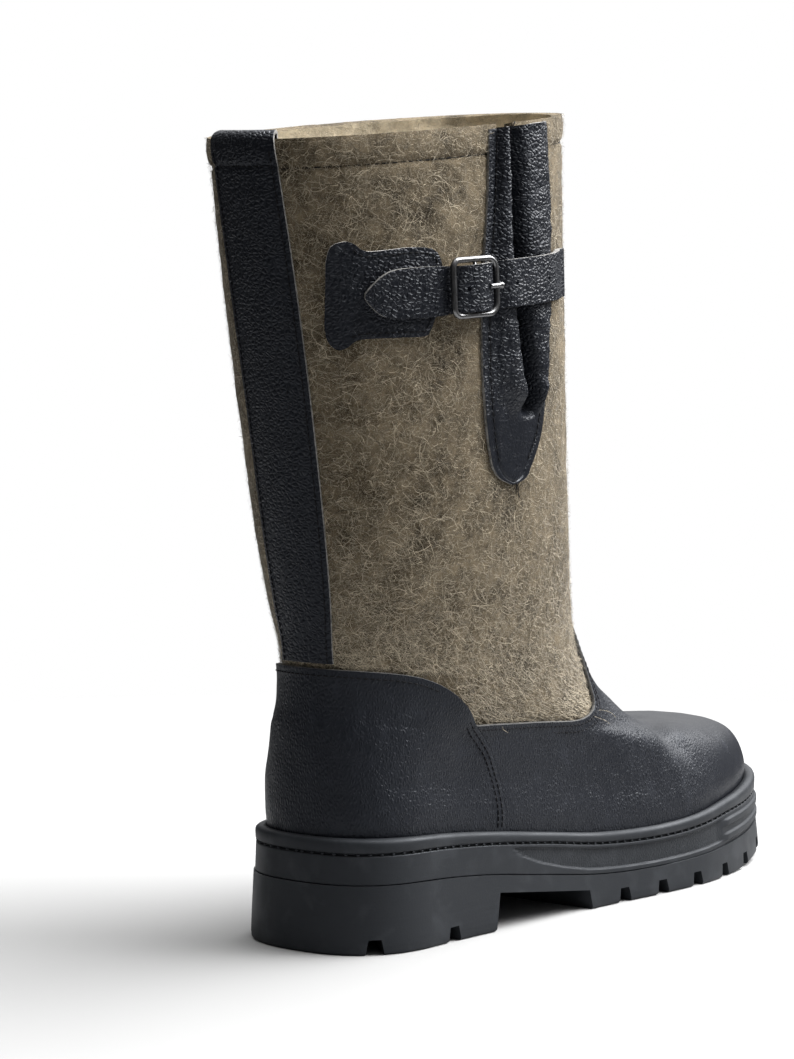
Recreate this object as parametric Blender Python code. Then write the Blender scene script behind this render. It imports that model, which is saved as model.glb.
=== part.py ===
"""Felt boot, right foot: felt shaft, leather vamp and counter, strap gusset, rubber cup sole.

Lengths in the tables are millimetres and are turned into metres when a mesh is made.
+X points to the toe, +Y to the inner side of the foot, +Z up.
The origin is on the floor under the middle of the heel.
"""

import math

import bmesh
import bpy
import numpy as np
from mathutils import Matrix, Vector

MM = 0.001
GAP = 0.3
MERGE = 1e-6
SHARP_ANGLE = math.radians(40.0)

# Colour, roughness and metal of each finish
FINISHES = {
    "wool_felt": ((0.17, 0.145, 0.105), 0.95, 0.0),
    "footbed_felt": ((0.20, 0.18, 0.15), 0.95, 0.0),
    "pebbled_leather": ((0.012, 0.013, 0.016), 0.45, 0.0),
    "black_rubber": ((0.018, 0.019, 0.021), 0.55, 0.0),
    "polished_steel": ((0.55, 0.55, 0.56), 0.18, 1.0),
}

# Driving sizes of the sole
HEEL_HALF_WIDTH = 39.5
SOLE_LENGTH = 309.0
SOLE_BACK = -HEEL_HALF_WIDTH
SOLE_TOE = SOLE_BACK + SOLE_LENGTH
HEEL_ROUND = 0.13
TOE_ROUND = 0.24
SOLE_CORNER = 2.4
TOE_SWING = 6.0
SWING_START = 120.0

# Driving sizes of the walls
FELT = 4.0
LEATHER = 1.6
PANEL_GAP = 0.45
RIM_GAP = 0.6
INSOLE = 5.0

# Half widths of the sole: share of its length, outer side, inner side
PLAN_COLUMNS = ("share", "outer", "inner")
PLAN = np.array((
    (0.00, 39.5, 39.5),
    (0.13, 39.5, 39.5),
    (0.33, 44.5, 37.5),
    (0.48, 48.5, 38.5),
    (0.60, 53.5, 43.5),
    (0.70, 55.8, 48.5),
    (0.78, 53.5, 50.0),
    (0.87, 50.5, 49.5),
    (1.00, 48.0, 47.0),
))

# Heights along the foot: place, top of the bead, stitched groove, line between midsole and outsole
LEVEL_COLUMNS = ("x", "bead", "groove", "parting")
LEVELS = np.array((
    (SOLE_BACK, 45.0, 38.6, 27.0),
    (0.0, 43.5, 37.6, 26.0),
    (30.0, 40.7, 35.4, 23.5),
    (70.0, 35.4, 30.8, 18.0),
    (105.0, 30.7, 25.9, 13.4),
    (150.0, 29.2, 24.1, 12.0),
    (200.0, 33.2, 27.4, 14.0),
    (244.0, 37.3, 29.6, 17.2),
    (SOLE_TOE, 39.4, 31.2, 19.0),
))

# Rings of the felt from the feather line up to the collar. Each runs from a back point to a
# front point. oval blends the foot's outline into an oval, sag makes a ring follow the sole,
# and roll lifts the inner side of the collar.
RING_COLUMNS = ("back_x", "back_z", "front_x", "front_z", "outer", "inner",
                "oval", "heel_round", "toe_round", "corner", "sag", "roll")
RINGS = np.array((
    (-32.0, 39.7, 258.0, 33.6, 48.3, 42.2, 0.00, 0.13, 0.24, 2.4, 1.0, 0.0),
    (-32.6, 52.0, 260.0, 43.6, 48.8, 43.0, 0.05, 0.13, 0.25, 2.4, 1.0, 0.0),
    (-32.5, 65.0, 253.0, 54.2, 46.0, 42.5, 0.15, 0.14, 0.28, 2.4, 0.9, 0.0),
    (-32.3, 76.0, 235.0, 59.5, 43.0, 40.5, 0.35, 0.17, 0.34, 2.3, 0.6, 0.0),
    (-32.0, 85.0, 211.0, 61.0, 40.5, 39.0, 0.55, 0.20, 0.40, 2.2, 0.3, 0.0),
    (-31.5, 92.0, 186.0, 63.5, 39.0, 38.0, 0.75, 0.26, 0.46, 2.1, 0.1, 0.0),
    (-31.3, 99.0, 161.0, 73.5, 39.5, 38.5, 0.90, 0.36, 0.48, 2.1, 0.0, 0.0),
    (-31.5, 107.0, 142.0, 87.0, 40.5, 39.5, 1.00, 0.46, 0.50, 2.1, 0.0, 0.0),
    (-32.5, 118.0, 129.0, 104.0, 42.0, 41.0, 1.00, 0.50, 0.50, 2.1, 0.0, 0.0),
    (-35.5, 135.0, 121.0, 125.0, 44.5, 43.5, 1.00, 0.50, 0.50, 2.2, 0.0, 0.0),
    (-40.5, 163.0, 115.0, 160.0, 48.5, 47.5, 1.00, 0.50, 0.50, 2.2, 0.0, 0.0),
    (-49.5, 212.0, 111.0, 215.0, 50.5, 49.5, 1.00, 0.50, 0.50, 2.2, 0.0, 0.0),
    (-59.0, 258.0, 110.0, 267.0, 50.5, 49.5, 1.00, 0.50, 0.50, 2.2, 0.0, 0.2),
    (-70.0, 308.0, 113.0, 325.0, 47.5, 46.5, 1.00, 0.50, 0.50, 2.2, 0.0, 1.0),
))
LAST_RING = len(RINGS) - 1
RING_HALF_WIDTH = 50.0

# The felt is skinned on these turns round the boot and on these rings
TURNS = 40
FOOT_RISES = np.linspace(0.0, 4.5, 10) / LAST_RING
LEG_RISES = np.array((5.0, 5.5, 6.0, 6.5, 7.0, 7.5, 8.0, 8.6, 9.4, 10.4, 11.4, 12.3, 13.0)) / LAST_RING
RIM_LIFT = 1.2
CROWN_SHARES = (0.25, 0.75)
HALVINGS = 40
# Grid on the outer side of the shaft that places are looked up on
SHAFT_TURNS = 91
SHAFT_RISES = 61
SHAFT_LOW_RISE = 0.4

# Leather over the foot: the counter ends at a turn, the vamp fills the rest
COUNTER_RING = 7.2
COUNTER_TURN = math.radians(64.0)
COUNTER_EDGE = math.radians(62.4)
COUNTER_POWER = 7.5
VAMP_EDGE = math.radians(62.65)
VAMP_TOP = np.array((
    (60.0, 4.75),
    (77.0, 5.05),
    (91.0, 5.28),
    (103.0, 5.40),
    (113.0, 5.75),
    (122.0, 6.20),
    (130.0, 6.75),
    (142.0, 7.55),
    (158.0, 8.60),
    (180.0, 9.10),
))
EDGE_ROW = 0.05 / LAST_RING
EDGE_CLEAR_TURN = math.radians(1.0)

# Strip of leather up the back
STRIP_TURN = math.radians(15.0)
STRIP_LOW_RING = 7.4
STRIP_FOLD_RINGS = 0.24

# Gusset in the slit of the shaft: height, back edge, front edge, and where its valley lies as a
# share of the half width
GUSSET = np.array((
    (177.4, 33.0, 36.0, 0.15),
    (179.2, 27.5, 41.5, 0.15),
    (183.5, 21.7, 45.5, 0.15),
    (189.0, 18.2, 49.2, 0.15),
    (196.0, 15.5, 53.0, 0.15),
    (204.0, 13.3, 55.2, 0.15),
    (212.0, 11.8, 56.6, 0.14),
    (220.0, 10.6, 57.6, 0.12),
    (230.0, 9.7, 58.3, 0.06),
    (243.0, 9.3, 59.0, 0.0),
    (268.0, 11.2, 60.8, -0.16),
    (292.0, 15.3, 61.6, -0.20),
    (316.0, 18.2, 60.6, -0.22),
))
GUSSET_TILT = 0.064
TILT_START = 222.0
# The rolls end in the flat point, the front one lower than the back one
ROLL_END = 207.0
ROLL_END_SLANT = 6.0
ROLL_END_SPREAD = 0.3
ROLL_RUN = 17.0
SLIT_HALF = 5.8
SLIT_LOW = 200.0
SLIT_OUTSIDE = -100.0
SLIT_INSIDE = -25.0
# Section of the gusset: share of the half width, lift
PLEAT = np.array((
    (-1.00, 2.0),
    (-0.72, 2.0),
    (-0.56, 4.2),
    (-0.36, 5.5),
    (-0.18, 4.4),
    (-0.10, 0.0),
    (-0.09, -11.0),
    (0.09, -11.0),
    (0.10, 0.0),
    (0.18, 4.4),
    (0.36, 5.5),
    (0.56, 4.2),
    (0.72, 2.0),
    (1.00, 2.0),
))

# Patch that holds the buckle: place and height of its low edge, then of its high edge
TAB_ROWS = 3
TAB = np.array((
    (-48.3, 240.0, -50.8, 262.2),
    (-47.1, 234.8, -50.7, 267.0),
    (-45.7, 232.2, -49.8, 269.4),
    (-44.0, 230.7, -47.7, 270.5),
    (-42.1, 231.6, -45.4, 270.6),
    (-40.7, 233.4, -43.5, 269.5),
    (-39.0, 234.5, -41.3, 267.7),
    (-35.0, 234.9, -37.5, 267.1),
    (-25.2, 235.2, -25.2, 268.5),
    (-16.4, 235.6, -16.4, 268.4),
    (-14.0, 238.1, -12.4, 267.0),
    (-12.5, 242.0, -10.2, 263.5),
    (-11.0, 247.0, -9.0, 258.0),
))

# Strap from its sewn end to its tip: place along the foot, middle height, lift, width
STRAP_THICK = 2.0
STRAP = np.array((
    (76.0, 259.3, 0.5, 19.0),
    (70.0, 258.9, 0.7, 19.0),
    (64.0, 258.4, 2.6, 18.7),
    (58.0, 257.9, 4.4, 18.4),
    (52.0, 257.4, 6.0, 18.1),
    (46.0, 256.9, 6.8, 18.0),
    (38.0, 256.2, 6.9, 18.0),
    (29.0, 255.6, 6.5, 18.0),
    (21.6, 255.0, 5.8, 18.0),
    (16.4, 254.5, 2.4, 18.0),
    (14.0, 254.3, 2.5, 18.0),
    (9.8, 254.0, 6.0, 17.8),
    (3.3, 253.5, 7.3, 17.6),
    (-3.2, 253.0, 5.4, 17.6),
    (-7.1, 252.7, 2.5, 17.8),
    (-9.1, 252.5, 2.35, 18.2),
    (-15.8, 252.1, 2.35, 18.8),
    (-22.4, 251.8, 2.35, 18.8),
    (-28.2, 251.5, 2.35, 18.4),
    (-31.9, 251.3, 2.35, 17.0),
    (-34.7, 251.2, 2.35, 13.8),
    (-37.0, 251.1, 2.35, 9.0),
    (-38.6, 251.0, 2.35, 4.6),
    (-39.5, 250.9, 2.35, 1.6),
))

# Buckle: frame with a middle bar under the strap, and the prong that rests on the front bar
BUCKLE_X = 3.3
BUCKLE_HEIGHT = 253.8
BUCKLE_LIFT = 5.8
BUCKLE_SLOPE = math.tan(math.radians(3.0))
BUCKLE_BAR_REACH = 12.2
BUCKLE_SIDE_REACH = 11.0
BUCKLE_CORNER = 2.6
BUCKLE_CORNER_STEPS = 4
WIRE_ROUNDING = 2
WIRE = 1.2
BAR_WIRE = 1.08
PRONG = 0.95
PRONG_START = 8.2
PRONG_END = 14.4

# Side of the midsole: level it hangs on, height over it, set-in from the sole's outline
WALL_SHARES = (0.0, 0.10, 0.22, 0.36, 0.50, 0.64, 0.78, 0.92, 1.0)
WALL_FOOT_INSET = 1.8
WALL_TOP_INSET = 2.2
BEAD = (
    ("groove", -0.5, 3.8),
    ("groove", 0.6, 3.8),
    ("groove", 1.6, 2.0),
    ("bead", -2.2, 1.9),
    ("bead", -0.6, 2.6),
    ("bead", 0.0, 3.6),
)
GROOVE_UNDER = 1.6
CUP_RISE = 0.2
SOLE_TURNS = 64
# Low edge of the recessed panel: place along the foot, share of the wall's height
PANEL = np.array((
    (47.0, 1.00),
    (50.0, 0.85),
    (54.0, 0.60),
    (66.0, 0.36),
    (80.0, 0.22),
    (97.0, 0.14),
    (190.0, 0.14),
))
PANEL_TOP_SHARE = 0.95
PANEL_DEPTH = 0.8
RIB_START = 190.0
RIB_RUN = 10.0
RIB_HEIGHT = 0.9
RIBS = 2

# Outsole: heel block, open waist and forefoot tread with a little toe spring
SPRING_START = 190.0
SPRING = 9.0
EDGE_ROUND = 1.5
OUTSOLE_TOP_INSET = 1.2
WAIST = ((35.0, -5.0), (39.0, 15.2), (95.0, 8.0), (97.0, -5.0))
LUG_STATIONS = (-28.0, 11.0, 117.0, 141.0, 165.0, 189.0, 213.0, 237.0)
LUG_CUT_WIDTH = 5.0
LUG_CUT_HEIGHT = 6.0
LUG_CUT_REACH = 20.0


def clear_scene():
    for item in list(bpy.data.objects):
        bpy.data.objects.remove(item, do_unlink=True)


def make_collection(name):
    collection = bpy.data.collections.new(name)
    bpy.context.scene.collection.children.link(collection)
    return collection


def make_material(name):
    colour, roughness, metallic = FINISHES[name]
    material = bpy.data.materials.new(name)
    material.use_nodes = True
    shader = material.node_tree.nodes["Principled BSDF"]
    shader.inputs["Base Color"].default_value = (*colour, 1.0)
    shader.inputs["Roughness"].default_value = roughness
    shader.inputs["Metallic"].default_value = metallic
    return material


def through(value, stations, heights):
    """Smooth curve through the rows of a table."""
    value = np.asarray(value, float)
    slopes = np.gradient(heights, stations)
    low = np.clip(np.searchsorted(stations, value) - 1, 0, len(stations) - 2)
    span = stations[low + 1] - stations[low]
    share = (value - stations[low]) / span
    rest = 1.0 - share
    return ((1.0 + 2.0 * share) * rest ** 2 * heights[low]
            + share * rest ** 2 * span * slopes[low]
            + share ** 2 * (3.0 - 2.0 * share) * heights[low + 1]
            - share ** 2 * rest * span * slopes[low + 1])


def rounded_ends(share, heel_round, toe_round, corner):
    """One along the middle, falling to nothing in a round at each end."""
    heel = 1.0 - np.clip(share / heel_round, 0.0, 1.0)
    toe = 1.0 - np.clip((1.0 - share) / toe_round, 0.0, 1.0)
    return ((1.0 - heel ** corner) * (1.0 - toe ** corner)) ** (1.0 / corner)


def swing(x):
    """The toe bends to the inner side."""
    return TOE_SWING * np.clip((x - SWING_START) / (SOLE_TOE - SWING_START), 0.0, 1.0) ** 2


def level(name, x):
    column = LEVEL_COLUMNS.index(name)
    return through(np.clip(x, SOLE_BACK, SOLE_TOE), LEVELS[:, 0], LEVELS[:, column])


def plan_half(share, side):
    return through(share, PLAN[:, 0], PLAN[:, PLAN_COLUMNS.index(side)])


def even_turns(count):
    """Turns round the boot from the heel, outer side first, in pairs either side of the middle."""
    return (np.arange(count) + 0.5) * (2.0 * math.pi / count)


def plan_point(turn):
    share = (1.0 - np.cos(turn)) / 2.0
    x = SOLE_BACK + SOLE_LENGTH * share
    ends = rounded_ends(share, HEEL_ROUND, TOE_ROUND, SOLE_CORNER)
    outer = -plan_half(share, "outer") * ends
    inner = plan_half(share, "inner") * ends
    return np.stack((x, np.where(np.sin(turn) >= 0.0, outer, inner) + swing(x)), -1)


def plan_normal(turn):
    step = 1e-3
    along = plan_point(turn + step) - plan_point(turn - step)
    along /= np.linalg.norm(along, axis=-1, keepdims=True)
    return np.stack((along[..., 1], -along[..., 0]), -1)


def sole_ring(turn, heights, inset):
    """The sole's outline, set in evenly, at a height for each of its points."""
    inset = np.broadcast_to(inset, turn.shape)
    outline = plan_point(turn) - plan_normal(turn) * inset[:, None]
    return np.column_stack((outline, heights))


def ring_value(rise, name):
    rings = np.arange(len(RINGS)) / LAST_RING
    return through(rise, rings, RINGS[:, RING_COLUMNS.index(name)])


def felt_form(turn, rise):
    """Outer face of the felt: turn round from the heel, rise 0 at the sole and 1 at the collar."""
    turn, rise = np.broadcast_arrays(np.asarray(turn, float), np.asarray(rise, float))
    row = {name: ring_value(rise, name) for name in RING_COLUMNS}
    share = (1.0 - np.cos(turn)) / 2.0
    x = row["back_x"] + (row["front_x"] - row["back_x"]) * share
    ends = rounded_ends(share, row["heel_round"], row["toe_round"], row["corner"])
    foot = 1.0 - row["oval"]
    outer_foot = row["outer"] + plan_half(share, "outer") - PLAN[:, 1].max()
    inner_foot = row["inner"] + plan_half(share, "inner") - PLAN[:, 2].max()
    outer = -(outer_foot * foot + row["outer"] * row["oval"]) * ends
    inner = (inner_foot * foot + row["inner"] * row["oval"]) * ends
    y = np.where(np.sin(turn) >= 0.0, outer, inner) + swing(x) * foot
    back_level = level("bead", row["back_x"])
    straight = back_level + (level("bead", row["front_x"]) - back_level) * share
    z = row["back_z"] + (row["front_z"] - row["back_z"]) * share
    z = z + row["sag"] * (level("bead", x) - straight) + row["roll"] * y / RING_HALF_WIDTH
    return np.stack((x, y, z), -1)


def felt_normal(turn, rise):
    step = 1e-3
    turn, rise = np.broadcast_arrays(np.asarray(turn, float), np.asarray(rise, float))
    low = np.clip(rise - step, 0.0, 1.0)
    high = np.clip(rise + step, 0.0, 1.0)
    round_way = felt_form(turn + step, rise) - felt_form(turn - step, rise)
    up_way = felt_form(turn, high) - felt_form(turn, low)
    normal = np.cross(round_way, up_way)
    # The lowest ring stands on the cup's floor, so there it is offset level
    normal[..., 2] *= np.clip(rise * LAST_RING, 0.0, 1.0)
    return normal / np.linalg.norm(normal, axis=-1, keepdims=True)


def felt_at(turn, rise, lift):
    """A point over the felt's outer face by a lift, or inside it where the lift is negative."""
    return felt_form(turn, rise) + felt_normal(turn, rise) * np.asarray(lift, float)[..., None]


def rise_at(turn, height, low=0.0, high=1.0):
    """The rise at which the felt has a height, found by halving."""
    low = np.full(np.shape(turn), low)
    high = np.full(np.shape(turn), high)
    for _ in range(HALVINGS):
        middle = (low + high) / 2.0
        under = felt_form(turn, middle)[..., 2] < height
        low = np.where(under, middle, low)
        high = np.where(under, high, middle)
    return (low + high) / 2.0


def shaft_grid():
    """Turns and rises over the outer side of the shaft, with the height of the felt at each."""
    turns = np.linspace(0.0, math.pi, SHAFT_TURNS)
    rises = np.linspace(SHAFT_LOW_RISE, 1.0, SHAFT_RISES)
    heights = felt_form(turns[None, :], rises[:, None])[..., 2]
    return turns, rises, heights


def shaft_at(x, across, height, lift):
    """A point on the outer side of the shaft: across is measured round it from the line at x."""
    turns, rises, heights = SHAFT_GRID
    level_rises = np.array([np.interp(height, column, rises) for column in heights.T])
    line = felt_form(turns, level_rises)
    steps = np.linalg.norm(np.diff(line, axis=0), axis=1)
    girth = np.concatenate(((0.0,), np.cumsum(steps)))
    turn = np.interp(np.interp(x, line[:, 0], girth) + across, girth, turns)
    return felt_at(turn, np.interp(turn, turns, level_rises), lift)


SHAFT_GRID = shaft_grid()


def finish(name, mesh, collection, material):
    item = bpy.data.objects.new(name, mesh)
    collection.objects.link(item)
    mesh.materials.append(material)
    mesh.shade_smooth()
    mesh.set_sharp_from_angle(angle=SHARP_ANGLE)
    return item


def loft_mesh(name, sections, joined=False):
    """Skin closed sections. The ends are joined to each other, or closed by rungs across them."""
    mesh = bpy.data.meshes.new(name)
    shape = bmesh.new()
    rows = [[shape.verts.new(point * MM) for point in section] for section in sections]
    count = len(rows[0])
    pairs = list(zip(rows, rows[1:]))
    if joined:
        pairs.append((rows[-1], rows[0]))
    for low, high in pairs:
        for index in range(count):
            after = (index + 1) % count
            shape.faces.new((low[index], low[after], high[after], high[index]))
    if not joined:
        for row in (rows[0], rows[-1]):
            for index in range(count // 2 - 1):
                far = count - 1 - index
                shape.faces.new((row[index], row[index + 1], row[far - 1], row[far]))
    bmesh.ops.recalc_face_normals(shape, faces=shape.faces)
    shape.to_mesh(mesh)
    shape.free()
    return mesh


def make_cutter(name, mesh, cutters):
    cutter = bpy.data.objects.new(name, mesh)
    cutters.objects.link(cutter)
    cutter.hide_render = True
    cutter.display_type = "WIRE"
    return cutter


def combine(item, other, operation):
    change = item.modifiers.new(other.name, "BOOLEAN")
    change.operation = operation
    change.object = other


def prism_mesh(name, outline, axis_low, axis_high):
    """An outline in x and z, drawn out along y."""
    sections = [np.array([(x, y, z) for x, z in outline]) for y in (axis_low, axis_high)]
    return loft_mesh(name, sections)


def slit_outline():
    """The cut in the shaft, up one side and down the other, round the gusset's valley."""
    rows = [(SLIT_LOW, GUSSET[0])]
    rows += [(row[0], row) for row in GUSSET if row[0] > SLIT_LOW]
    rows.append((RINGS[-1][RING_COLUMNS.index("front_z")] + FELT, GUSSET[-1]))
    up = []
    down = []
    for height, (_, back_edge, front_edge, valley) in rows:
        middle = (back_edge + front_edge) / 2.0 + valley * (front_edge - back_edge) / 2.0
        up.append((middle - SLIT_HALF, height))
        down.append((middle + SLIT_HALF, height))
    return up + down[::-1]


def make_upper(parts, cutters, felt):
    turn = even_turns(TURNS)
    rises = np.concatenate((FOOT_RISES, LEG_RISES))
    outside = [felt_at(turn, np.full(TURNS, rise), np.zeros(TURNS)) for rise in rises]
    inside = [felt_at(turn, np.full(TURNS, rise), np.full(TURNS, -FELT)) for rise in rises]
    crown = []
    for share in CROWN_SHARES:
        ring = felt_at(turn, np.ones(TURNS), np.full(TURNS, -FELT * share))
        crown.append(ring + np.array((0.0, 0.0, RIM_LIFT)))
    upper = finish("upper", loft_mesh("upper", outside + crown + inside[::-1], joined=True), parts, felt)
    slit = make_cutter("slit", prism_mesh("slit", slit_outline(), SLIT_OUTSIDE, SLIT_INSIDE), cutters)
    combine(upper, slit, "DIFFERENCE")


def leather_panel(name, turns, top_of, parts, leather):
    """A sheet over the felt from the sole up to an edge, one section at each turn."""
    felt_rises = np.concatenate((FOOT_RISES, LEG_RISES))
    felt_rises = felt_rises[felt_rises < max(top_of(turn) for turn in turns)]
    under_edge = EDGE_ROW * np.arange(len(felt_rises), 0, -1)
    sections = []
    for turn in turns:
        top = top_of(turn)
        # Rows follow the felt's own rows, and those above the edge crowd under it
        rises = np.append(np.minimum(felt_rises, top - under_edge), top)
        places = np.full(rises.shape, turn)
        back = felt_at(places, rises, np.full(rises.shape, PANEL_GAP))
        face = felt_at(places, rises, np.full(rises.shape, PANEL_GAP + LEATHER))
        sections.append(np.concatenate((back, face[::-1])))
    finish(name, loft_mesh(name, sections), parts, leather)


def turns_between(first, last):
    """The felt's own turns inside a stretch, and the stretch's two ends."""
    turn = np.concatenate((even_turns(TURNS) - 2.0 * math.pi, even_turns(TURNS)))
    inside = turn[(turn > first + EDGE_CLEAR_TURN) & (turn < last - EDGE_CLEAR_TURN)]
    return np.concatenate(((first,), inside, (last,)))


def counter_top(turn):
    reach = abs(turn) / COUNTER_TURN
    return COUNTER_RING / LAST_RING * (1.0 - reach ** COUNTER_POWER) ** (1.0 / COUNTER_POWER)


def vamp_top(turn):
    degrees = math.degrees(min(turn, 2.0 * math.pi - turn))
    return through(degrees, VAMP_TOP[:, 0], VAMP_TOP[:, 1]) / LAST_RING


def make_foot_leather(parts, leather):
    counter_turns = turns_between(-COUNTER_EDGE, COUNTER_EDGE)
    leather_panel("heel_counter", counter_turns, counter_top, parts, leather)
    vamp_turns = turns_between(VAMP_EDGE, 2.0 * math.pi - VAMP_EDGE)
    leather_panel("vamp", vamp_turns, vamp_top, parts, leather)


def make_back_strip(parts, leather):
    """A band up the back that folds over the rim and ends inside the shaft."""
    turn = turns_between(-STRIP_TURN, STRIP_TURN)
    over = np.array((0.0, 0.0, 1.0))
    low_rise = STRIP_LOW_RING / LAST_RING
    rises = np.concatenate(((low_rise,), LEG_RISES[LEG_RISES > low_rise]))
    # Each row: rise, height added, lift of the strip's back, height added to its face, lift of its face
    rows = [(rise, 0.0, GAP, 0.0, GAP + LEATHER) for rise in rises]
    top = RIM_LIFT + GAP
    inner = -FELT - GAP
    rows.append((1.0, top, GAP, top + LEATHER / 2.0, GAP + LEATHER))
    rows.append((1.0, top, -FELT / 2.0, top + LEATHER, -FELT / 2.0))
    rows.append((1.0, top, inner, top + LEATHER / 2.0, inner - LEATHER))
    rows.append((1.0, 0.0, inner, 0.0, inner - LEATHER))
    rows.append((1.0 - STRIP_FOLD_RINGS / LAST_RING, 0.0, inner, 0.0, inner - LEATHER))
    sections = []
    for rise, back_height, back_lift, face_height, face_lift in rows:
        places = np.full(turn.shape, rise)
        back = felt_at(turn, places, np.full(turn.shape, back_lift)) + over * back_height
        face = felt_at(turn, places, np.full(turn.shape, face_lift)) + over * face_height
        sections.append(np.concatenate((back, face[::-1])))
    finish("back_strip", loft_mesh("back_strip", sections), parts, leather)


def offset_profile(profile, depth):
    """The profile moved sideways by a depth, to the left of its run."""
    along = np.gradient(profile, axis=0)
    along /= np.linalg.norm(along, axis=1, keepdims=True)
    return profile + np.column_stack((along[:, 1], -along[:, 0])) * depth


def make_gusset(parts, leather):
    flat_lift = PLEAT[0, 1]
    even_shares = np.linspace(-1.0, 1.0, len(PLEAT))
    slant = ROLL_END_SLANT * np.clip(PLEAT[:, 0] / ROLL_END_SPREAD, -1.0, 1.0)
    tilt_run = GUSSET[-1, 0] - TILT_START
    sections = []
    for height, back_edge, front_edge, valley in GUSSET:
        fold = np.clip((height - ROLL_END + slant) / ROLL_RUN, 0.0, 1.0)
        fold = fold * fold * (3.0 - 2.0 * fold)
        lift = flat_lift + (PLEAT[:, 1] - flat_lift) * fold
        share = even_shares + (PLEAT[:, 0] - even_shares) * fold
        share = share + valley * (1.0 - share ** 2)
        middle = (back_edge + front_edge) / 2.0
        half = (front_edge - back_edge) / 2.0
        face = np.column_stack((share * half, lift))
        back = offset_profile(face, LEATHER)
        tilt = GUSSET_TILT * np.clip((height - TILT_START) / tilt_run, 0.0, 1.0)
        section = []
        for across, rise in np.concatenate((back, face[::-1])):
            section.append(shaft_at(middle, across, height + tilt * across, rise))
        sections.append(np.array(section))
    finish("gusset", loft_mesh("gusset", sections), parts, leather)


def make_tab(parts, leather):
    sections = []
    for low_x, low, high_x, high in TAB:
        edge = np.linspace((low_x, low), (high_x, high), TAB_ROWS)
        back = [shaft_at(x, 0.0, height, PANEL_GAP) for x, height in edge]
        face = [shaft_at(x, 0.0, height, PANEL_GAP + LEATHER) for x, height in edge]
        sections.append(np.array(back + face[::-1]))
    finish("buckle_tab", loft_mesh("buckle_tab", sections), parts, leather)


def make_strap(parts, leather):
    sections = []
    for x, height, lift, width in STRAP:
        corners = ((-0.5, 0.0), (0.5, 0.0), (0.5, STRAP_THICK), (-0.5, STRAP_THICK))
        section = [shaft_at(x, 0.0, height + side * width, lift + rise) for side, rise in corners]
        sections.append(np.array(section))
    finish("strap", loft_mesh("strap", sections), parts, leather)


def buckle_matrix():
    """Local x runs along the strap to the front, z up the shaft, y into the shaft."""
    ends = []
    for across in (BUCKLE_BAR_REACH, -BUCKLE_BAR_REACH):
        height = BUCKLE_HEIGHT + BUCKLE_SLOPE * across
        ends.append(Vector(shaft_at(BUCKLE_X, across, height, BUCKLE_LIFT)))
    for rise in (BUCKLE_SIDE_REACH, -BUCKLE_SIDE_REACH):
        ends.append(Vector(shaft_at(BUCKLE_X, 0.0, BUCKLE_HEIGHT + rise, BUCKLE_LIFT)))
    ahead, behind, above, below = ends
    forward = (ahead - behind).normalized()
    inward = (above - below).cross(forward).normalized()
    upward = forward.cross(inward)
    middle = Vector(shaft_at(BUCKLE_X, 0.0, BUCKLE_HEIGHT, BUCKLE_LIFT))
    axes = Matrix((forward, inward, upward)).transposed().to_4x4()
    return Matrix.Translation(middle * MM) @ axes


def round_tube(points, radius, cyclic):
    """A wire along points as a closed mesh."""
    curve = bpy.data.curves.new("wire", "CURVE")
    curve.dimensions = "3D"
    curve.bevel_depth = radius * MM
    curve.bevel_resolution = WIRE_ROUNDING
    curve.use_fill_caps = True
    spline = curve.splines.new("POLY")
    spline.points.add(len(points) - 1)
    for place, point in zip(spline.points, points):
        place.co = (*(Vector(point) * MM), 1.0)
    spline.use_cyclic_u = cyclic
    guide = bpy.data.objects.new("wire", curve)
    bpy.context.scene.collection.objects.link(guide)
    graph = bpy.context.evaluated_depsgraph_get()
    mesh = bpy.data.meshes.new_from_object(guide.evaluated_get(graph))
    bpy.data.objects.remove(guide, do_unlink=True)
    shape = bmesh.new()
    shape.from_mesh(mesh)
    bmesh.ops.remove_doubles(shape, verts=shape.verts, dist=MERGE)
    bmesh.ops.recalc_face_normals(shape, faces=shape.faces)
    shape.to_mesh(mesh)
    shape.free()
    return mesh


def rounded_rectangle(half_x, half_z, corner):
    points = []
    for index, (side_x, side_z) in enumerate(((1, 1), (-1, 1), (-1, -1), (1, -1))):
        for step in range(BUCKLE_CORNER_STEPS + 1):
            angle = (index + step / BUCKLE_CORNER_STEPS) * math.pi / 2.0
            x = side_x * (half_x - corner) + corner * math.cos(angle)
            z = side_z * (half_z - corner) + corner * math.sin(angle)
            points.append((x, 0.0, z))
    return points


def make_buckle(parts, cutters, steel):
    place = buckle_matrix()
    outline = rounded_rectangle(BUCKLE_BAR_REACH, BUCKLE_SIDE_REACH, BUCKLE_CORNER)
    frame = finish("buckle_frame", round_tube(outline, WIRE, True), parts, steel)
    frame.matrix_world = place
    bar_ends = ((0.0, 0.0, -BUCKLE_SIDE_REACH), (0.0, 0.0, BUCKLE_SIDE_REACH))
    bar = make_cutter("middle_bar", round_tube(bar_ends, BAR_WIRE, False), cutters)
    bar.matrix_world = place
    combine(frame, bar, "UNION")
    prong_lift = -(WIRE + GAP + PRONG)
    prong_ends = ((PRONG_START, prong_lift, 0.0), (PRONG_END, prong_lift, 0.0))
    prong = finish("buckle_prong", round_tube(prong_ends, PRONG, False), parts, steel)
    prong.matrix_world = place


def underside(x):
    """Height of the tread: flat, with a little spring under the toe."""
    return SPRING * np.clip((x - SPRING_START) / (SOLE_TOE - SPRING_START), 0.0, 1.0) ** 2


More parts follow.
